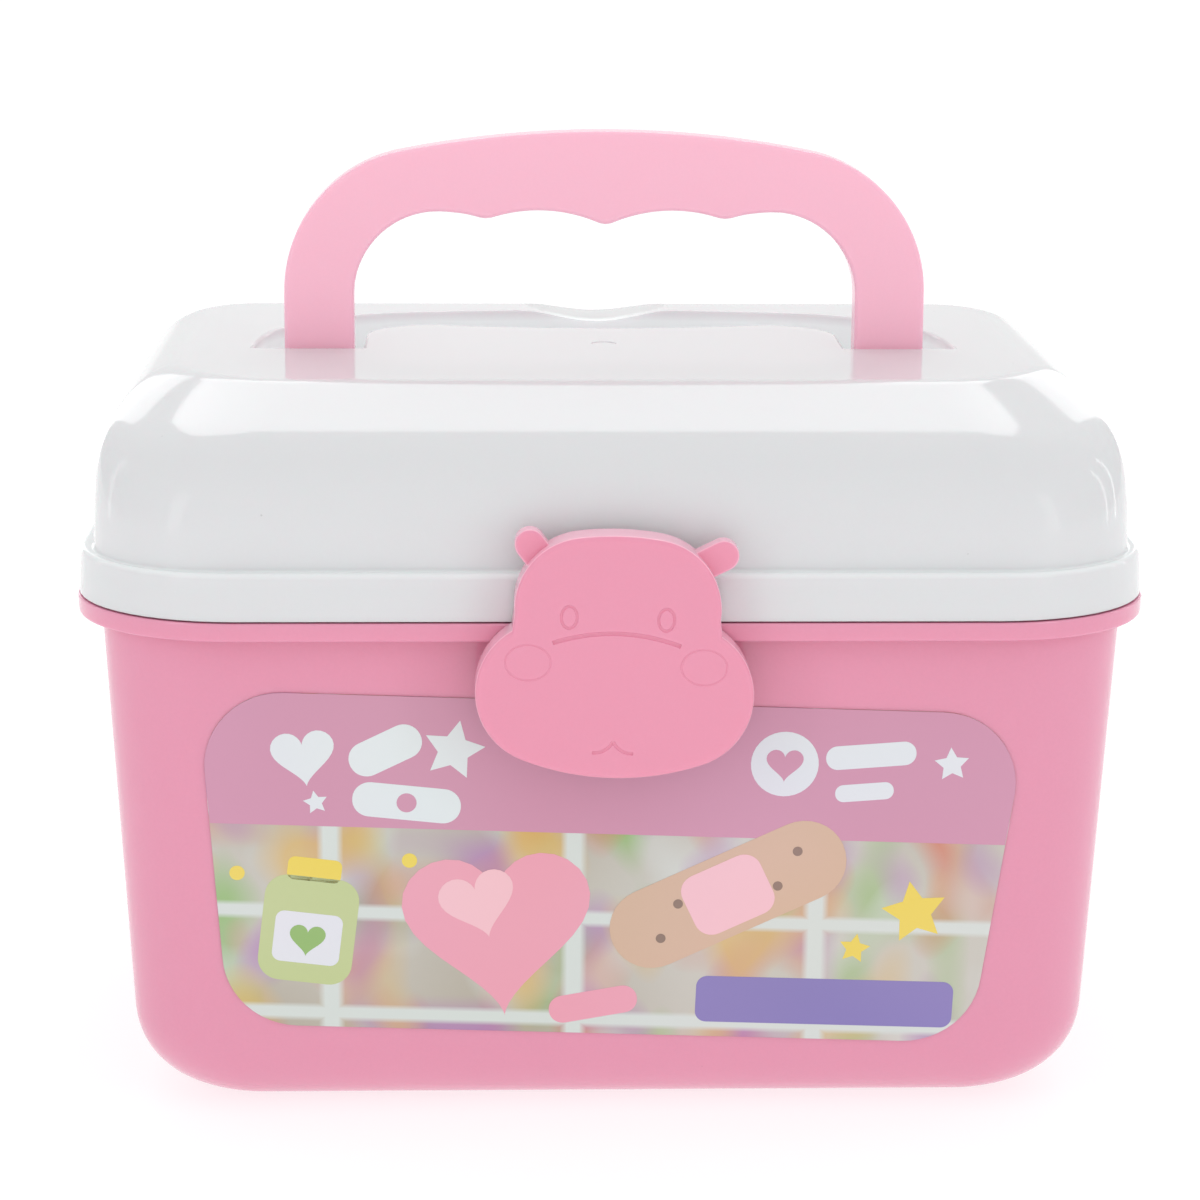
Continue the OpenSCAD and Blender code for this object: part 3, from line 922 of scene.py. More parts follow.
@dataclass
class Bin:
    """The pink tub: its wall, its flange, the lip that stands up inside the lid, and its knuckles.

    flange_lean is how far the flange's lower edge is set in. The fillets are the radii of the
    rounded edges, in order from under the flange over its edge to the top of the lip.
    """

    flange_z: float = 113.7
    top: float = 117.8
    wall: float = 2.0
    inset: float = 6.2
    taper: float = 3.07
    corner: float = 23.0
    foot_radius: float = 23.0
    corner_shrink: float = 0.4
    lip: float = 5.0
    foot_steps: int = 14
    flange_lean: float = 0.15
    knuckle_lift: float = 0.5
    fillets: tuple[float, ...] = (1.0, 0.7, 0.45, 0.3, 0.7, 0.7)

    def profile(self, offset: float) -> list[Level]:
        """Gives the levels from the underside up to the flange.

        Args:
            offset: 0 for the outside, or the wall's thickness for the inside.

        Returns:
            The levels.
        """
        lean, foot = math.radians(self.taper), self.foot_radius
        centre = (self.inset + (self.flange_z - foot + foot * math.sin(lean)) * math.tan(lean)
                  + foot * math.cos(lean))
        levels = []
        for i in range(self.foot_steps + 1):
            a = math.radians(90 - (90 - self.taper) * i / self.foot_steps)
            outer = centre - foot * math.cos(a)
            levels.append(Level(
                centre - (foot - offset) * math.cos(a), foot - (foot - offset) * math.sin(a),
                self.corner - self.corner_shrink * (outer - self.inset) - offset))
        return levels

    def build(self) -> Piece:
        """Models the bin.

        Returns:
            The bin.
        """
        under, low, edge, root, outside, inside = self.fillets
        lip_top, lip_inset = self.top + self.lip, self.inset + self.wall
        obj = RIM.shell("bin_moulding", [
            *self.profile(0.0),
            Level(self.inset, self.flange_z, self.corner, under),
            Level(self.flange_lean, self.flange_z, RIM.corner, low),
            Level(0.0, self.top, RIM.corner, edge),
            Level(self.inset, self.top, self.corner, root),
            Level(self.inset, lip_top, self.corner, outside),
            Level(lip_inset, lip_top, self.corner - self.wall, inside),
            Level(lip_inset, self.flange_z, self.corner - self.wall),
            *reversed(self.profile(self.wall))])
        step = HINGE.lid_width / 2 + HINGE.gap
        for x in (-HINGE.x, HINGE.x):
            for start in (x - step - HINGE.bin_width, x + step):
                work_in(obj, HINGE.knuckle("knuckle", start, start + HINGE.bin_width,
                                           self.flange_z + self.knuckle_lift,
                                           self.top - SKIN), Join.ADD)
            work_in(obj, HINGE.bore(x, reach=step + HINGE.bin_width + 1, spare=HELD), Join.CUT)
        even_out(obj)
        return obj

    def dress(self, obj: Piece) -> None:
        """Gives the bin its finish and its body."""
        hand_over(obj, "bin_body", "bin_plastic", FINISH.bin_pink, "bin")


# --- lid ------------------------------------------------------------------------


@dataclass(frozen=True)
class Grip:
    """The handle's own sizes, which the lid's recess follows."""

    width: float = 152.0
    leg: float = 16.5
    front: float = -4.2
    back: float = 3.8
    corner: float = 34.0
    top_radius: float = 250.0
    pivot_y: float = 1.0
    pivot_z: float = 158.0
    rise: float = 57.4
    end_radius: float = 5.2
    pin_radius: float = 2.0

    def arcs(self, grow: float, base: float, steps: int) -> Outline:
        """Gives the outer right-hand corner and half of the long top arc.

        Args:
            grow: How far the outline is grown.
            base: The pivot's height, or its place in Y for the folded handle.
            steps: How many pieces each arc has.

        Returns:
            The points, from the leg to the middle of the grip.
        """
        cx = self.width / 2 - self.corner
        top = base + self.rise - self.top_radius
        cz = top + math.sqrt((self.top_radius - self.corner) ** 2 - cx ** 2)
        a = math.degrees(math.atan2(cz - top, cx))
        return (arc(cx, cz, self.corner + grow, 0, a, steps)
                + arc(0, top, self.top_radius + grow, a, 90, steps, 1))

    def bore(self, name: str, reach: float, spare: float) -> Piece:
        """Makes the tool for the bore that the handle turns on.

        Args:
            name: The tool's name.
            reach: How far it goes to each side of the middle.
            spare: How much the bore's radius is over the pin's.

        Returns:
            The tool.
        """
        return rod(name, self.pin_radius + spare, (-reach, self.pivot_y, self.pivot_z),
                   (reach, self.pivot_y, self.pivot_z))


GRIP = Grip()


@dataclass
class Lid:
    """The domed white lid, with the handle's recess, a finger scoop, knuckles and latch arms.

    The brow is the slope under the flat top at the front: it starts brow_start behind the lid's
    edge, is rounded by brow_bend above and brow_round below, and runs out at brow_foot beyond
    the dome's foot. The fillets go from inside the ledge down the skirt and up to the dome.
    """

    base: float = 118.1
    ledge: float = 128.5
    top: float = 164.2
    wall: float = 2.0
    skirt_inset: float = 0.45
    skirt_lean: float = 0.55
    dome_inset: float = 4.15
    dome_corner: float = 29.5
    taper: float = 2.25
    top_radius: float = 18.7
    brow_start: float = 44.0
    brow_bend: float = 13.0
    brow_slope: float = 19.0
    brow_round: float = 22.0
    brow_foot: float = 0.32
    brow_levels: tuple[float, ...] = (9.6, 7.6, 5.6, 3.8, 1.9)
    edge_steps: int = 22
    fillets: tuple[float, ...] = (0.6, 0.6, 0.3, 0.25, 1.7, 0.8)
    recess_front: float = -4.6
    recess_gap: float = 1.2
    recess_depth: float = 9.4
    well_depth: float = 12.0
    well_back: float = 8.0
    flare: float = 83.4
    flare_back: float = 28.8
    island: float = 57.3
    island_corner: float = 17.0
    island_back: float = 34.0
    island_dip: float = 5.5
    tray: float = 1.8
    edge: float = 0.8
    floor_round: float = 1.5
    scoop_half: float = 19.5
    scoop_depth: float = 2.8
    scoop_shape: float = 0.85
    scoop_lift: float = 0.02
    well_inset: float = 0.4
    well_short: float = 2.2
    well_round: float = 0.6
    well_box_round: float = 0.8
    tray_round: float = 0.8
    boss_radius: float = 4.3
    boss_x: tuple[float, float] = (81.0, 90.0)
    bore_end: float = 88.5
    gate_radius: float = 3.0
    gate_y: float = 3.0
    gate_depth: float = 0.12
    flare_shares: tuple[float, ...] = (0, 0.2, 0.4, 0.6, 0.75, 0.87, 0.95, 0.99)
    floor_angles: tuple[float, ...] = (0, 30, 60, 90)
    rim_angles: tuple[float, ...] = (0, 22, 45, 68, 88)

    def brow(self, z: float, inset: float) -> float:
        """Gives how much further the dome's front is set in than its other sides.

        Args:
            z: The height.
            inset: How far the other sides are set in there.

        Returns:
            The difference.
        """
        slope, drop = math.radians(self.brow_slope), self.top - z
        bend = self.brow_bend * (1 - math.cos(slope))
        if drop <= bend:
            run = math.sqrt(self.brow_bend ** 2 - (self.brow_bend - drop) ** 2)
            return self.brow_start - run - inset
        end = math.radians(90 - self.taper)
        bottom_run = self.brow_round * (math.sin(end) - math.sin(slope))
        foot = self.dome_inset + self.brow_foot
        plain = self.brow_start - foot - self.brow_bend * math.sin(slope) - bottom_run
        sloped = bend + plain * math.tan(slope)
        if drop <= sloped:
            return foot + bottom_run + (sloped - drop) / math.tan(slope) - inset
        turn = math.cos(slope) - (drop - sloped) / self.brow_round
        if turn <= math.cos(end):
            return 0.0
        rise = math.sin(end) - math.sqrt(1 - turn * turn)
        return max(0.0, foot + self.brow_round * rise - inset)

    def dome(self, offset: float) -> list[Level]:
        """Gives the levels of the dome's wall and its rounded top edge.

        Args:
            offset: 0 for the outside, or the wall's thickness for the inside.

        Returns:
            The levels, from the bottom up.
        """
        lean, radius = math.radians(self.taper), self.top_radius
        arc_z = self.top - radius
        tangent = arc_z + radius * math.sin(lean)
        centre = (self.dome_inset + (tangent - self.ledge) * math.tan(lean)
                  + radius * math.cos(lean))
        levels = []
        for down in self.brow_levels:
            z = tangent - down
            outer = self.dome_inset + (z - self.ledge) * math.tan(lean)
            levels.append(Level(outer + offset, z,
                                self.dome_corner - (outer - self.dome_inset) - offset,
                                brow=self.brow(z, outer)))
        for i in range(self.edge_steps + 1):
            a = math.radians(self.taper + (90 - self.taper) * i / self.edge_steps)
            outer = centre - radius * math.cos(a)
            levels.append(Level(centre - (radius - offset) * math.cos(a),
                                arc_z + (radius - offset) * math.sin(a),
                                self.dome_corner - (outer - self.dome_inset) - offset,
                                brow=self.brow(arc_z + radius * math.sin(a), outer)))
        return levels

    def recess_loop(self, grow: float, z: float) -> list[Point]:
        """Gives the recess's edge seen from above: the folded handle's outline round the island.

        Args:
            grow: How far it is grown.
            z: Its height.

        Returns:
            The points, in millimetres.
        """
        steps = 10
        front = self.recess_front - grow
        side, flare = GRIP.width / 2 + grow, self.flare - GRIP.width / 2
        outer = [(side + flare * math.sqrt(1 - t * t), between(front, self.flare_back, t))
                 for t in self.flare_shares]
        outer += GRIP.arcs(self.recess_gap + grow, GRIP.pivot_y, steps)[2:]
        cx = self.island - self.island_corner
        dip = (cx ** 2 + self.island_dip ** 2) / (2 * self.island_dip)
        half = math.degrees(math.asin(cx / dip))
        cy = self.island_back - self.island_corner
        inner = ([(self.island - grow, front)]
                 + arc(cx, cy, self.island_corner - grow, 0, 90, steps)
                 + arc(0, self.island_back - self.island_dip + dip, dip + grow, 270 + half, 270,
                       steps, 1))
        outline = mirrored(outer) + list(reversed(mirrored(inner)))
        return [(x, y, z) for x, y in outline]

    def recess_tool(self) -> Piece:
        """Makes what is cut out for the recess, with a rounded rim and floor.

        Returns:
            The tool.
        """
        floor = self.top - self.recess_depth
        loops = [self.recess_loop(-self.floor_round * (1 - math.sin(math.radians(a))),
                                  floor + self.floor_round * (1 - math.cos(math.radians(a))))
                 for a in self.floor_angles]
        loops += [self.recess_loop(self.edge * (1 - math.cos(math.radians(a))),
                                   self.top - self.edge * (1 - math.sin(math.radians(a))))
                  for a in self.rim_angles]
        loops.append(self.recess_loop(self.edge, self.top + 3))
        return loft("recess_tool", loops)

    def scoop_outline(self, drop: float, roof: float) -> Outline:
        """Gives the scoop's section, a soft dip that runs out into the deck on both sides.

        Args:
            drop: How far the whole section is lowered.
            roof: The height of its flat upper side.

        Returns:
            The section's points in X and Z.
        """
        steps = 24
        points = []
        for i in range(steps + 1):
            x = between(-self.scoop_half, self.scoop_half, i / steps)
            wave = 0.5 + 0.5 * math.cos(math.pi * x / self.scoop_half)
            dip = self.scoop_depth * wave ** self.scoop_shape
            points.append((x, self.top + self.scoop_lift - drop - dip))
        return points + [(self.scoop_half, roof), (-self.scoop_half, roof)]

    def shell(self) -> Piece:
        """Makes the lid's plain shell: the dome, the ledge and the skirt.

        Returns:
            The shell.
        """
        under = self.ledge - self.wall
        skirt, lean = self.skirt_inset, self.skirt_inset + self.skirt_lean
        inner = skirt + self.wall
        dome_foot, skirt_top, skirt_in, skirt_out, ledge, dome_root = self.fillets
        return RIM.shell("lid_moulding", [
            *reversed(self.dome(self.wall)),
            Level(self.dome_inset + self.wall, under, self.dome_corner - self.wall, dome_foot),
            Level(inner, under, RIM.corner - skirt - self.wall, skirt_top),
            Level(inner, self.base, RIM.corner - skirt - self.wall, skirt_in),
            Level(skirt, self.base, RIM.corner - skirt, skirt_out),
            Level(lean, self.ledge, RIM.corner - lean, ledge),
            Level(self.dome_inset, self.ledge, self.dome_corner, dome_root),
            *self.dome(0.0)])

    def tray_under(self) -> Piece:
        """Makes the tray that closes the recess from below.

        Returns:
            The tray.
        """
        low = self.top - self.recess_depth - self.tray
        return loft("tray", [self.recess_loop(self.tray - self.tray_round, low),
                             self.recess_loop(self.tray, low + 1),
                             self.recess_loop(self.tray, self.top - self.wall / 2)])

    def wall_under_scoop(self, front: float) -> Piece:
        """Makes the wall that keeps its thickness under the scoop.

        Args:
            front: Where the scoop starts in Y.

        Returns:
            The wall, kept within the dome.
        """
        half = self.wall / 2
        obj = plate("under_scoop", self.scoop_outline(self.wall, self.top - half), front,
                    RIM.depth / 2)
        core = RIM.shell("core", [
            Level(self.dome_inset + half, self.ledge, self.dome_corner - half), *self.dome(half)])
        return work_in(obj, core, Join.KEEP)

    def well(self, side: int) -> tuple[Piece, Piece]:
        """Makes one well for the handle's leg.

        Args:
            side: -1 for the left one and 1 for the right one.

        Returns:
            The box round the well, and the well itself.
        """
        ends = (self.island + self.well_inset) * side, (self.flare - self.well_short) * side
        low, high, floor = min(ends), max(ends), self.top - self.well_depth
        grow = self.tray
        box = block("well_box", (low - grow, self.recess_front - grow, floor - grow),
                    (high + grow, self.well_back + grow, self.top - 2), self.well_box_round)
        hollow = block("well", (low, self.recess_front + 0.02, floor),
                       (high, self.well_back, self.top - 4), self.well_round)
        return box, hollow

    def build(self) -> Piece:
        """Models the lid.

        Returns:
            The lid.
        """
        obj = self.shell()
        added = [self.tray_under()]
        front = GRIP.pivot_y + GRIP.rise + self.recess_gap - 1
        added.append(self.wall_under_scoop(front))
        gate = rod("gate", self.gate_radius, (0, self.gate_y, self.top - self.gate_depth),
                   (0, self.gate_y, self.top + 2))
        removed = [self.recess_tool(),
                   plate("scoop", self.scoop_outline(0.0, self.top + 4), front, RIM.depth / 2),
                   gate]
        for side in (-1, 1):
            box, hollow = self.well(side)
            boss_start, boss_end = ((side * x, GRIP.pivot_y, GRIP.pivot_z) for x in self.boss_x)
            centre, half = side * HINGE.x, HINGE.lid_width / 2
            added += [box, rod("boss", self.boss_radius, boss_start, boss_end),
                      HINGE.knuckle("knuckle", centre - half, centre + half, self.base + SKIN,
                                    HINGE.z + HINGE.radius - SKIN),
                      LATCH_AXLE.arm(side, self.ledge)]
            removed += [hollow, HINGE.bore(centre, reach=10, spare=TURNING)]
        removed += [LATCH_AXLE.bore("axle_bore", reach=30, spare=HELD),
                    GRIP.bore("handle_bore", reach=self.bore_end, spare=HELD)]
        for tool in added:
            work_in(obj, tool, Join.ADD)
        for tool in removed:
            work_in(obj, tool, Join.CUT)
        even_out(obj)
        return obj

    def dress(self, obj: Piece) -> None:
        """Gives the lid its finish and its body."""
        hand_over(obj, "lid_body", "lid_plastic", FINISH.white, "lid")


# --- handle ---------------------------------------------------------------------


@dataclass
class Handle:
    """The carrying handle: a flat plate with finger grooves under its grip.

    Each groove has its radius, its place in X and how much higher it lies than the corners.
    """

    grip_z: float = 196.5
    inner_corner: float = 20.0
    grooves: tuple[tuple[float, float, float], ...] = ((25.0, 37.5, -0.2), (36.0, 15.8, 0.3))
    crest_round: float = 1.6
    crest_samples: int = 7
    groove_step: float = 1.35
    groove_points: int = 30
    corner_start: float = 84.0
    edge: float = 0.9
    foot_round: float = 3.4

    def underside(self) -> Outline:
        """Gives the right-hand half of the handle's inner edge.

        Returns:
            The points, from the middle outwards and down.
        """
        corner_x = GRIP.width / 2 - GRIP.leg - self.inner_corner
        circles = [(self.inner_corner, corner_x, 0.0), *self.grooves]

        def height(x: float) -> float:
            """Gives the underside's height there, the highest of the grooves."""
            return max(self.grip_z + rise - r + math.sqrt(r * r - (x - cx) ** 2)
                       for r, cx, rise in circles if abs(x - cx) < r)

        def smooth(x: float) -> float:
            """Gives the height with its crests rounded."""
            return sum(height(abs(x + d)) for d in spread) / len(spread)

        last = self.crest_samples - 1
        spread = [between(-self.crest_round, self.crest_round, k / last) for k in range(last + 1)]
        grooved = [(x, smooth(x))
                   for x in (self.groove_step * i for i in range(self.groove_points))]
        return grooved + arc(corner_x, self.grip_z - self.inner_corner, self.inner_corner,
                             self.corner_start, 0, 16)

    def build(self) -> Piece:
        """Models the handle.

        Returns:
            The handle.
        """
        low = GRIP.pivot_z - GRIP.end_radius
        inner = GRIP.width / 2 - GRIP.leg
        half = [*reversed(GRIP.arcs(0.0, GRIP.pivot_z, 26)), (GRIP.width / 2, GRIP.pivot_z),
                (GRIP.width / 2, low), (inner, low), (inner, GRIP.pivot_z),
                *reversed(self.underside())]
        obj = plate("handle_moulding", mirrored(half), GRIP.front, GRIP.back)
        bottom = (low + 0.1) * MM
        soften(obj, lambda e: sharp(e) and max(v.co.z for v in e.verts) < bottom
               and abs(e.verts[0].co.y - e.verts[1].co.y) < 1e-6, self.foot_round, 6)
        soften(obj, sharp, self.edge, 4)
        work_in(obj, GRIP.bore("bore", reach=90, spare=TURNING), Join.CUT)
        even_out(obj)
        return obj

    def dress(self, obj: Piece) -> None:
        """Gives the handle its finish and its body."""
        hand_over(obj, "handle_body", "handle_plastic", FINISH.handle_pink, "handle")


# --- latch ----------------------------------------------------------------------


@dataclass(frozen=True)
class LatchAxle:
    """The pin that the latch turns on, and the lid's two arms that hold it."""

    y: float = -95.8
    z: float = 133.5
    pin: float = 1.2
    radius: float = 2.3
    arm_x: float = 6.0
    arm_width: float = 3.0
    root_y: float = -92.5
    post_half: float = 1.8
    post_drop: float = 8.0
    root_drop: tuple[float, float] = (7.0, 2.5)

    def arm(self, side: int, ledge: float) -> Piece:
        """Makes one of the lid's arms.

        Args:
            side: -1 for the left one and 1 for the right one.
            ledge: The height of the lid's ledge.

        Returns:
            The arm.
        """
        low, high = sorted((side * self.arm_x, side * (self.arm_x + self.arm_width)))
        obj = rod("arm", self.radius, (low, self.y, self.z), (high, self.y, self.z))
        post = block("post", (low, self.y - self.post_half, ledge - self.post_drop),
                     (high, self.y + self.post_half, self.z))
        root = block("root", (low, self.y, ledge - self.root_drop[0]),
                     (high, self.root_y, ledge - self.root_drop[1]))
        return work_in(work_in(obj, post, Join.ADD), root, Join.ADD)

    def bore(self, name: str, reach: float, spare: float) -> Piece:
        """Makes the tool for the bore that the latch turns on.

        Args:
            name: The tool's name.
            reach: How far it goes to each side of the middle.
            spare: How much the bore's radius is over the pin's.

        Returns:
            The tool.
        """
        return rod(name, self.pin + spare, (-reach, self.y, self.z), (reach, self.y, self.z))


LATCH_AXLE = LatchAxle()


@dataclass
class Latch:
    """The face-shaped latch: a hollow plate with ears, engraved lines, ribs and a hook.

    waist gives the angles where the cheek's arc ends and the head's begins.
    Each ear has its round end's place in X and Z and its direction. An engraved ring has its
    place in X and over the chin, its half width and half height, and its line's half width and
    depth. An engraved arc has its centre in X and over the chin, its radius, its two angles, and
    its line's half width and depth.
    """

    width: float = 60.0
    head_width: float = 44.4
    chin: float = 85.5
    front: float = -103.0
    back: float = -94.5
    wall: float = 1.8
    cheek: float = 16.0
    cheek_z: float = 104.0
    head: float = 15.5
    head_z: float = 122.9
    head_top: float = 138.9
    waist: tuple[float, float] = (418.0, -6.0)
    edge: float = 1.1
    ears: tuple[tuple[float, float, float], ...] = ((-19.2, 135.6, -52.0), (22.4, 134.4, 208.0))
    ear_radius: float = 3.3
    ear_thick: float = 4.5
    ear_edge: float = 0.8
    ear_root: float = 8.0
    hang: float = 1.8
    rings: tuple[tuple[float, ...], ...] = (
        (10.4, 35.5, 1.7, 2.4, 0.34, 0.3), (18.9, 25.3, 4.9, 3.9, 0.24, 0.15))
    mouth: tuple[float, ...] = (4.1, 10.3, 4.5, 206, 274, 0.38, 0.3)
    muzzle: tuple[float, ...] = (0, -8.1, 40.3, 109.9, 70.1, 0.5, 0.42)
    ribs: tuple[float, float] = (-11.7, 9.5)
    rib_width: float = 2.2
    rib_root: tuple[float, float] = (0.05, 2.15)
    rib_half: float = 1.8
    hook_half: float = 10.0
    hook_z: tuple[float, float] = (110.4, 113.4)
    hook_end: float = -92.4
    bore_end: float = 12.4
    cavity_edge: float = 0.5
    shade_angle: float = 26.0

    def face_loop(self, shrink: float, y: float) -> list[Point]:
        """Gives the face's outline: chin, cheeks, waist and head.

        Args:
            shrink: How far it is drawn in.
            y: Its depth.

        Returns:
            The points, in millimetres.
        """
        cx, rise = self.width / 2 - self.cheek, self.cheek_z - self.chin
        chin = (cx ** 2 + rise ** 2 - self.cheek ** 2) / (2 * (rise - self.cheek))
        chin_a = math.degrees(math.asin(cx / (chin - self.cheek)))
        hx, up = self.head_width / 2 - self.head, self.head_top - self.head_z
        crown = (hx ** 2 + up ** 2 - self.head ** 2) / (2 * (up - self.head))
        crown_a = math.degrees(math.asin(hx / (crown - self.head)))
        half = (arc(0, self.chin + chin, chin - shrink, 270, 270 + chin_a, 8)
                + arc(cx, self.cheek_z, self.cheek - shrink, 270 + chin_a, self.waist[0], 22, 1)
                + arc(hx, self.head_z, self.head - shrink, self.waist[1], 90 - crown_a, 14)
                + arc(0, self.head_top - crown, crown - shrink, 90 - crown_a, 90, 6, 1))
        return [self.hung(x, y, z) for x, z in mirrored(half)]

    def hung(self, x: float, y: float, z: float) -> Point:
        """Gives a point's place on the face as it hangs, a little crooked on its pin.

        Args:
            x, y, z: The point on the upright face.

        Returns:
            Its place.
        """
        c, s = math.cos(math.radians(self.hang)), math.sin(math.radians(self.hang))
        up = z - LATCH_AXLE.z
        return (x * c + up * s, y, LATCH_AXLE.z + up * c - x * s)

    def rounded(self, name: str, shrink: float, front: float, back: float, edge: float) -> Piece:
        """Makes a plate of the face's outline with a rounded front edge.

        Args:
            name: The piece's name.
            shrink: How far the outline is drawn in.
            front, back: Its depths.
            edge: The radius of its front edge.

        Returns:
            The plate.
        """
        loops = [self.face_loop(shrink, back)]
        loops += [self.face_loop(shrink + edge * (1 - math.cos(math.radians(a))),
                                 front + edge * (1 - math.sin(math.radians(a))))
                  for a in (0, 18, 36, 54, 72, 90)]
        return loft(name, loops)

    def ear(self, x: float, z: float, angle: float) -> Piece:
        """Makes one ear, a round paddle that runs into the head.

        Args:
            x, z: The middle of its round end.
            angle: The direction from there to the head, in degrees.

        Returns:
            The ear.
        """
        front = self.back - self.ear_thick
        outline = [*arc(0, 0, self.ear_radius, 90, 270, 28),
                   (self.ear_root, -self.ear_radius), (self.ear_root, self.ear_radius)]
        obj = loft("ear", [[self.hung(u, y, v) for u, v in turned(outline, x, z, angle)]
                           for y in (front, self.back)])
        limit = (front + 0.01) * MM
        soften(obj, lambda e: sharp(e) and max(v.co.y for v in e.verts) < limit,
               self.ear_edge, 4)
        return obj

    def groove(self, points: Outline, half: float, depth: float) -> Piece:
        """Makes the tool for an engraved line: a bead that is sunk a little into the face.

        Args:
            points: The line's points in X and Z.
            half: Half the line's width.
            depth: How deep it is.

        Returns:
            The bead.
        """
        radius = (half ** 2 + depth ** 2) / (2 * depth)
        ring = math.dist(points[0], points[-1]) < ON_CENTRE
        points = points[:-1] if ring else points
        loops, count = [], len(points)
        for i, (x, z) in enumerate(points):
            last, ahead = (points[i - 1], points[(i + 1) % count]) if ring else (
                points[max(i - 1, 0)], points[min(i + 1, count - 1)])
            run = math.hypot(ahead[0] - last[0], ahead[1] - last[1])
            nx, nz = (ahead[1] - last[1]) / run, (last[0] - ahead[0]) / run
            bead = [(half * k / 3, depth - radius + math.sqrt(radius ** 2 - (half * k / 3) ** 2))
                    for k in (-3, -2, -1, 0, 1, 2, 3)]
            bead += [(half * 1.2, -0.3), (-half * 1.2, -0.3)]
            loops.append([self.hung(x + nx * w, self.front + sink, z + nz * w)
                          for w, sink in bead])
        return loft("groove", loops, ring)

    def features(self) -> list[tuple[Outline, float, float]]:
        """Lists the engraved lines: eyes, cheeks, the muzzle's upper edge and the mouth.

        Returns:
            Each line's points, half its width and its depth.
        """
        lines = []
        for side in (-1, 1):
            for x, up, wide, high, half, depth in self.rings:
                lines.append(([(side * x + wide * px, self.chin + up + high * pz)
                               for px, pz in arc(0, 0, 1, 90, 450, 48)], half, depth))
            x, up, radius, start, end, half, depth = self.mouth
            points = arc(x, self.chin + up, radius, start, end, 16)
            lines.append(([(side * x, z) for x, z in points], half, depth))
        x, up, radius, start, end, half, depth = self.muzzle
        lines.append((arc(x, self.chin + up, radius, start, end, 32), half, depth))
        return lines

    def build(self) -> Piece:
        """Models the latch.

        Returns:
            The latch.
        """
        obj = self.rounded("latch_moulding", 0.0, self.front, self.back, self.edge)
        for ear in self.ears:
            work_in(obj, self.ear(*ear), Join.ADD)
        cavity = self.rounded("cavity", self.wall, self.front + self.wall, self.back + 2,
                              self.cavity_edge)
        work_in(obj, cavity, Join.CUT)
        inside = self.front + self.wall / 2
        y, z = LATCH_AXLE.y, LATCH_AXLE.z
        for x in self.ribs:
            low, high = (x + inset for inset in self.rib_root)
            rib = rod("rib", LATCH_AXLE.radius, (x, y, z), (x + self.rib_width, y, z))
            root = block("rib_root", (low, inside, z - self.rib_half), (high, y, z + self.rib_half))
            work_in(obj, work_in(rib, root, Join.ADD), Join.ADD)
        low, high = self.hook_z
        work_in(obj, block("hook", (-self.hook_half, inside, low),
                           (self.hook_half, self.hook_end, high), self.cavity_edge), Join.ADD)
        work_in(obj, LATCH_AXLE.bore("bore", reach=self.bore_end, spare=TURNING), Join.CUT)
        for line in self.features():
            work_in(obj, self.groove(*line), Join.CUT)
        even_out(obj, self.shade_angle)
        return obj

    def dress(self, obj: Piece) -> None:
        """Gives the latch its finish and its body."""
        hand_over(obj, "latch_body", "latch_plastic", FINISH.latch_pink, "latch")


# --- label ----------------------------------------------------------------------


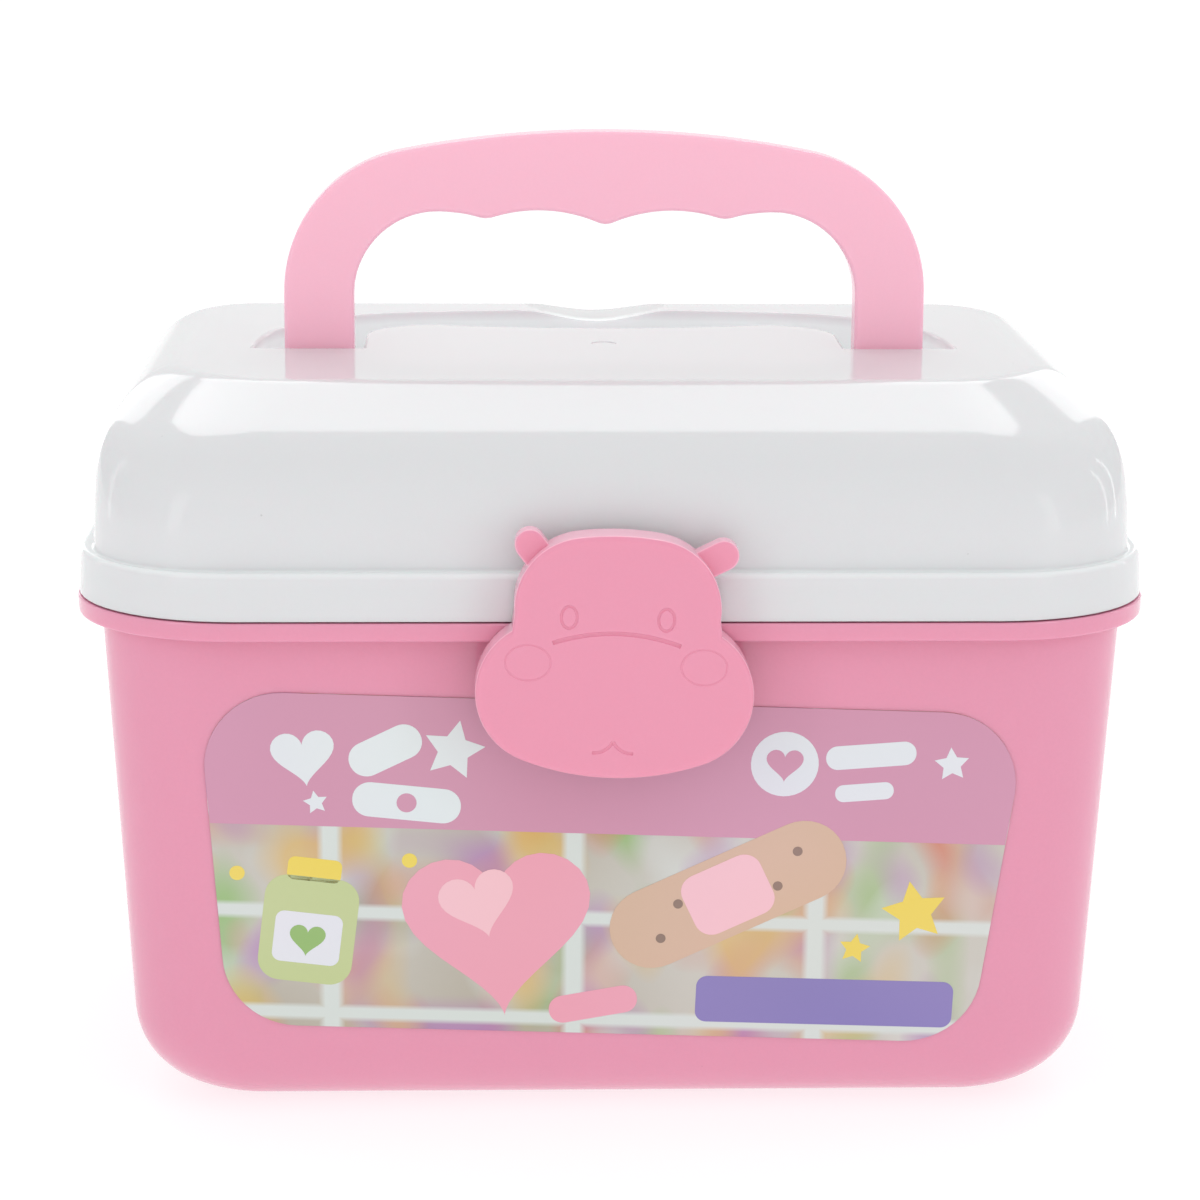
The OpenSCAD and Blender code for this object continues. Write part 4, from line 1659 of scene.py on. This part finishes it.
@dataclass
class Label:
    """The printed film on the bin's front wall, with a generic pattern in flat inks."""

    width: float = 179.0
    height: float = 78.0
    corner: float = 17.0
    side: float = 4.5
    slant: float = 4.0
    tilt: float = 1.9
    x: float = -1.5
    z: float = 59.6
    glue: float = 0.05
    thick: float = 0.25
    ink: float = 0.03
    header: float = 8.5
    header_half: float = 88.1
    header_corner: float = 12.0

    def on_wall(self, u: float, v: float, lift: float) -> Point:
        """Gives the place of a point of the label on the wall.

        Args:
            u, v: The point, from the label's own centre.
            lift: Its height above the wall.

        Returns:
            The place, in millimetres.
        """
        bin_ = Bin()
        lean, tilt = math.radians(bin_.taper), math.radians(self.tilt)
        y0 = -RIM.depth / 2 + bin_.inset + (bin_.flange_z - self.z) * math.tan(lean)
        across = u * math.cos(tilt) + v * math.sin(tilt)
        up = v * math.cos(tilt) - u * math.sin(tilt)
        return (self.x + across, y0 - up * math.sin(lean) - lift * math.cos(lean),
                self.z + up * math.cos(lean) - lift * math.sin(lean))

    def sheet(self, name: str, outline: Outline, low: float, high: float) -> Piece:
        """Makes a flat piece of the label between two heights above the wall."""
        return loft(name, [[self.on_wall(u, v, lift) for u, v in outline] for lift in (low, high)])

    def outline(self) -> Outline:
        """Gives the label's outline, from its own centre.

        Returns:
            The outline's points.
        """
        top = self.width / 2 - self.corner
        bottom, up = top - self.side, self.height / 2 - self.corner
        return mirrored(arc(bottom, -up, self.corner, 270, 360 - self.slant, 12)
                        + arc(top, up, self.corner, -self.slant, 90, 12))

    def print_on(self, name: str, outline: Outline, finish: Ink, layer: int = 1) -> None:
        """Prints one flat shape on the film.

        Args:
            name: The piece's name.
            outline: Its outline on the label.
            finish: Its ink.
            layer: Its number from the film up.
        """
        base = self.glue + self.thick + (layer - 1) * self.ink
        obj = self.sheet(name, outline, base - INK_BLEED, base + self.ink)
        hand_over(obj, "bin_body", "label_film", finish)

    def build(self) -> Piece:
        """Models the film."""
        return self.sheet("label_film", self.outline(), self.glue, self.glue + self.thick)

    def dress(self, obj: Piece) -> None:
        """Gives the film its ground and prints the pattern on it.

        Args:
            obj: The film.
        """
        hand_over(obj, "bin_body", "label_film", FINISH.picture, "front_label")
        top = [(u, v) for u, v in self.outline() if v > self.header_corner]
        right, left = [p for p in top if p[0] > 0], [p for p in top if p[0] < 0]
        foot = [(-self.header_half, self.header), (self.header_half, self.header)]
        self.print_on("print_band", [*foot, *right, *left], FINISH.mauve)
        for number, (shape, finish, layer) in enumerate(self.pattern()):
            self.print_on(f"print_{number:02d}", shape, finish, layer)

    def pattern(self) -> list[tuple[Outline, Ink, int]]:
        """Lists the label's shapes.

        Returns:
            Each shape's outline, ink and layer.
        """
        p = FINISH
        return [
            (heart(-68, 25, 14, 8), p.pearl, 2), (capsule(-50, 26.5, 17, 8, 28), p.pearl, 2),
            (star(-35, 27, 7, -10), p.pearl, 2), (capsule(-45, 14.5, 24, 8, -4), p.pearl, 2),
            (round_dot(-45, 14.5, 2.2), p.mauve, 3), (star(-65, 14, 2.8, 12), p.pearl, 2),
            (round_dot(38, 26, 7.5), p.pearl, 2), (heart(38, 26.2, 8.2, 0), p.mauve, 3),
            (capsule(57, 28.5, 20, 5.5, 6), p.pearl, 2), (star(75, 27, 4, 6), p.pearl, 2),
            (capsule(56, 20, 13, 4, 6), p.pearl, 2),
            (heart(-24, -13, 42, 6), p.rose, 1), (heart(-28.5, -8, 17, 18), p.blush, 2),
            (capsule(27, -5, 56, 19, 27), p.sand, 2),
            (round_block(27, -5, 19, 15, 4, 27), p.blush, 3),
            (round_dot(12.5, -15.8, 1.1), p.brown, 3), (round_dot(16, -7.5, 1.1), p.brown, 3),
            (round_dot(38, -2.6, 1.1), p.brown, 3), (round_dot(42, 5.7, 1.1), p.brown, 3),
            (round_block(-66, -16, 21, 25, 5, -5), p.lime, 1),
            (round_block(-64.9, -1.8, 12, 5.4, 1.6, -5), p.yellow, 1),
            (round_block(-66.2, -18, 15, 12, 2, -5), p.pearl, 2),
            (heart(-66.2, -18, 8, -5), p.leaf, 3),
            (star(69, -8, 7.5, 12), p.yellow, 1), (star(56, -17, 3.6, -8), p.yellow, 1),
            (round_dot(-82, -3, 1.7), p.yellow, 1), (round_dot(-44, 1, 1.7), p.yellow, 1),
            (round_block(50, -30, 58, 11, 2.5, 0), p.violet, 1),
            (capsule(-2, -32, 20, 6.5, 12), p.rose, 1),
        ]


HEART_STEPS = 48
STAR_WAIST = 0.5


def turned(outline: Outline, u: float, v: float, angle: float) -> Outline:
    """Turns an outline about the origin by an angle in degrees and moves it to u, v."""
    c, s = math.cos(math.radians(angle)), math.sin(math.radians(angle))
    return [(u + x * c - y * s, v + x * s + y * c) for x, y in outline]


def round_dot(u: float, v: float, r: float) -> Outline:
    """Gives a round dot."""
    return arc(u, v, r, 0, 350, 35)


def heart(u: float, v: float, size: float, angle: float) -> Outline:
    """Gives a heart.

    Args:
        u, v: Its middle.
        size: Its width.
        angle: How far it is turned, in degrees.

    Returns:
        Its outline.
    """
    points, unit = [], size / 32  # the curve below is 32 units wide
    for i in range(HEART_STEPS):
        t = 2 * math.pi * i / HEART_STEPS
        up = (13 * math.cos(t) - 5 * math.cos(2 * t) - 2 * math.cos(3 * t) - math.cos(4 * t))
        points.append((unit * 16 * math.sin(t) ** 3, unit * up))
    return turned(points, u, v, angle)


def star(u: float, v: float, r: float, angle: float) -> Outline:
    """Gives a five-pointed star.

    Args:
        u, v: Its middle.
        r: The radius of its points.
        angle: How far it is turned, in degrees.

    Returns:
        Its outline.
    """
    points = []
    for i in range(10):
        reach = r if i % 2 == 0 else r * STAR_WAIST
        points.append((reach * math.sin(math.pi * i / 5), reach * math.cos(math.pi * i / 5)))
    return turned(points, u, v, angle)


def round_block(u: float, v: float, w: float, h: float, r: float, angle: float) -> Outline:
    """Gives a block with rounded corners.

    Args:
        u, v: Its middle.
        w, h: Its width and height.
        r: The radius of its corners.
        angle: How far it is turned, in degrees.

    Returns:
        Its outline.
    """
    x, y = w / 2 - r, h / 2 - r
    points = []
    for start, (sx, sy) in zip((0, 90, 180, 270), ((1, 1), (-1, 1), (-1, -1), (1, -1))):
        points += arc(sx * x, sy * y, r, start, start + 90, 8)
    return turned(points, u, v, angle)


def capsule(u: float, v: float, w: float, h: float, angle: float) -> Outline:
    """Gives a shape with round ends, such as a capsule or a sticking plaster."""
    return round_block(u, v, w, h, h / 2 - 0.1, angle)


# --- pins -----------------------------------------------------------------------


class Pins:
    """The five pins, which keep their solids and get the pinks of the bin, handle and latch."""

    def dress(self) -> None:
        """Gives each pin its finish."""
        for name, finish in (
                ("hinge_pin_left", FINISH.bin_pink), ("hinge_pin_right", FINISH.bin_pink),
                ("handle_pin_left", FINISH.handle_pink), ("handle_pin_right", FINISH.handle_pink),
                ("latch_pin", FINISH.latch_pink)):
            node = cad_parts[name]
            node.data.materials.clear()
            node.data.materials.append(finish.material())
            log.info("%s: plain pin", name)


# --- studio ---------------------------------------------------------------------


@dataclass(frozen=True)
class SoftBox:
    """One soft light: its place and size in metres, and how bright its face is.

    A white card in plain daylight is 1.
    """

    name: str
    at: Point
    size: tuple[float, float]
    glow: float
    towards: Point = (0, 0, 0.1)

    def hang(self) -> None:
        """Hangs the light, facing the case."""
        aim = (Vector(self.towards) - Vector(self.at)).to_track_quat("-Z", "Y").to_euler()
        bpy.ops.object.light_add(type="AREA", location=self.at, rotation=aim)
        light = bpy.context.active_object
        light.name = self.name
        light.data.shape, light.data.size, light.data.size_y = "RECTANGLE", *self.size
        light.data.energy = self.glow * math.pi * self.size[0] * self.size[1]


@dataclass
class Studio:
    """The pale floor, the soft light and the camera.

    The camera's place is in millimetres and its angles are in radians. tent_ values are how
    bright the white tent is on each side, and fade gives where the front turns into the back
    and the sides into the top.
    """

    camera_at: Point = (-30.27, -829.01, 290.2)
    yaw: float = 0.0358
    pitch: float = 0.2234
    roll: float = 0.0068
    lens: float = 105.0
    sensor: float = 36.0
    clip_start: float = 0.01
    tent_front: float = 0.86
    tent_side: float = 0.55
    tent_back: float = 1.0
    tent_top: float = 0.97
    fade: tuple[tuple[float, float], ...] = ((-0.6, 0.8), (0.1, 0.8))
    floor_glow: float = 0.72
    floor_shade: float = 0.36
    floor_size: float = 30.0
    boxes: tuple[SoftBox, ...] = (
        SoftBox("back_box", (0.0, 0.86, 0.99), (0.8, 0.45), 2.0),
        SoftBox("left_fill", (-0.8, -0.86, 0.45), (0.25, 0.9), 1.6),
        SoftBox("right_fill", (0.8, -0.86, 0.45), (0.25, 0.9), 1.6),
        SoftBox("left_rim", (-0.5, 1.05, 0.35), (0.2, 0.8), 1.2),
        SoftBox("right_rim", (0.5, 1.05, 0.35), (0.2, 0.8), 1.2),
        SoftBox("left_strip", (-1.1, 0.45, 0.3), (0.1, 1.0), 1.0),
        SoftBox("right_strip", (1.15, 0.2, 0.3), (0.05, 1.0), 3.0),
        SoftBox("right_strip_back", (1.1, 0.48, 0.3), (0.04, 1.0), 3.0))

    def set_camera(self) -> None:
        """Places the camera at the photograph's angle."""
        level = Vector((math.sin(self.yaw), math.cos(self.yaw), 0))
        right = Vector((math.cos(self.yaw), -math.sin(self.yaw), 0))
        rise = Vector((0, 0, 1))
        ahead = level * math.cos(self.pitch) - rise * math.sin(self.pitch)
        up = rise * math.cos(self.pitch) + level * math.sin(self.pitch)
        x = right * math.cos(self.roll) + up * math.sin(self.roll)
        y = up * math.cos(self.roll) - right * math.sin(self.roll)
        turn = Matrix((x, y, -ahead)).transposed().to_euler()
        bpy.ops.object.camera_add(location=Vector(self.camera_at) * MM, rotation=turn)
        camera = bpy.context.active_object
        camera.name = "photo_camera"
        camera.data.lens, camera.data.sensor_width = self.lens, self.sensor
        camera.data.clip_start = self.clip_start
        bpy.context.scene.camera = camera

    def lay_floor(self) -> None:
        """Lays the plain pale floor."""
        bpy.ops.object.select_all(action="DESELECT")
        bpy.ops.mesh.primitive_plane_add(size=self.floor_size, location=(0, 0, 0))
        floor = bpy.context.active_object
        floor.name = "floor"
        s = Shader("floor_white")
        for name, value in (("Base Color", rgba((self.floor_shade,) * 3)), ("Roughness", 0.9),
                            ("Specular IOR Level", 0.1), ("Emission Color", (1, 1, 1, 1)),
                            ("Emission Strength", self.floor_glow)):
            s.feed(s.surface, name, value)
        floor.data.materials.append(s.material)

    def light(self) -> None:
        """Lights the case: a soft white tent, brighter behind and overhead, and the soft boxes."""
        world = bpy.data.worlds.new("tent")
        world.use_nodes = True
        nodes, links = world.node_tree.nodes, world.node_tree.links
        split = nodes.new("ShaderNodeSeparateXYZ")
        links.new(nodes.new("ShaderNodeTexCoord").outputs["Generated"], split.inputs[0])
        levels = []
        for axis, (start, end), low, high in (
                ("Y", self.fade[0], self.tent_front, self.tent_back),
                ("Z", self.fade[1], 0.0, 1.0)):
            ramp = nodes.new("ShaderNodeMapRange")
            ramp.interpolation_type = "SMOOTHSTEP"
            for socket, value in (("From Min", start), ("From Max", end),
                                  ("To Min", low), ("To Max", high)):
                ramp.inputs[socket].default_value = value
            links.new(split.outputs[axis], ramp.inputs["Value"])
            levels.append(ramp.outputs["Result"])
        width = nodes.new("ShaderNodeMath")
        width.operation = "ABSOLUTE"
        links.new(split.outputs["X"], width.inputs[0])
        level = levels[0]
        for share, goal in ((width.outputs[0], self.tent_side), (levels[1], self.tent_top)):
            blend = nodes.new("ShaderNodeMix")
            links.new(share, blend.inputs[BLEND_SHARE])
            links.new(level, blend.inputs[BLEND_FIRST])
            blend.inputs[BLEND_SECOND].default_value = goal
            level = blend.outputs[BLEND_RESULT]
        links.new(level, nodes["Background"].inputs["Strength"])
        nodes["Background"].inputs["Color"].default_value = (1, 1, 1, 1)
        bpy.context.scene.world = world
        bpy.context.scene.view_settings.view_transform = "Standard"
        for box in self.boxes:
            box.hang()

    def build(self) -> None:
        """Sets up the whole studio."""
        self.set_camera()
        self.lay_floor()
        self.light()


def main() -> None:
    """Builds the case in its studio."""
    logging.basicConfig(level=logging.INFO, format="%(name)s %(message)s")
    Studio().build()
    for part in (Bin(), Lid(), Handle(), Latch(), Label()):
        part.dress(part.build())
    Pins().dress()


if __name__ == "__main__":
    main()
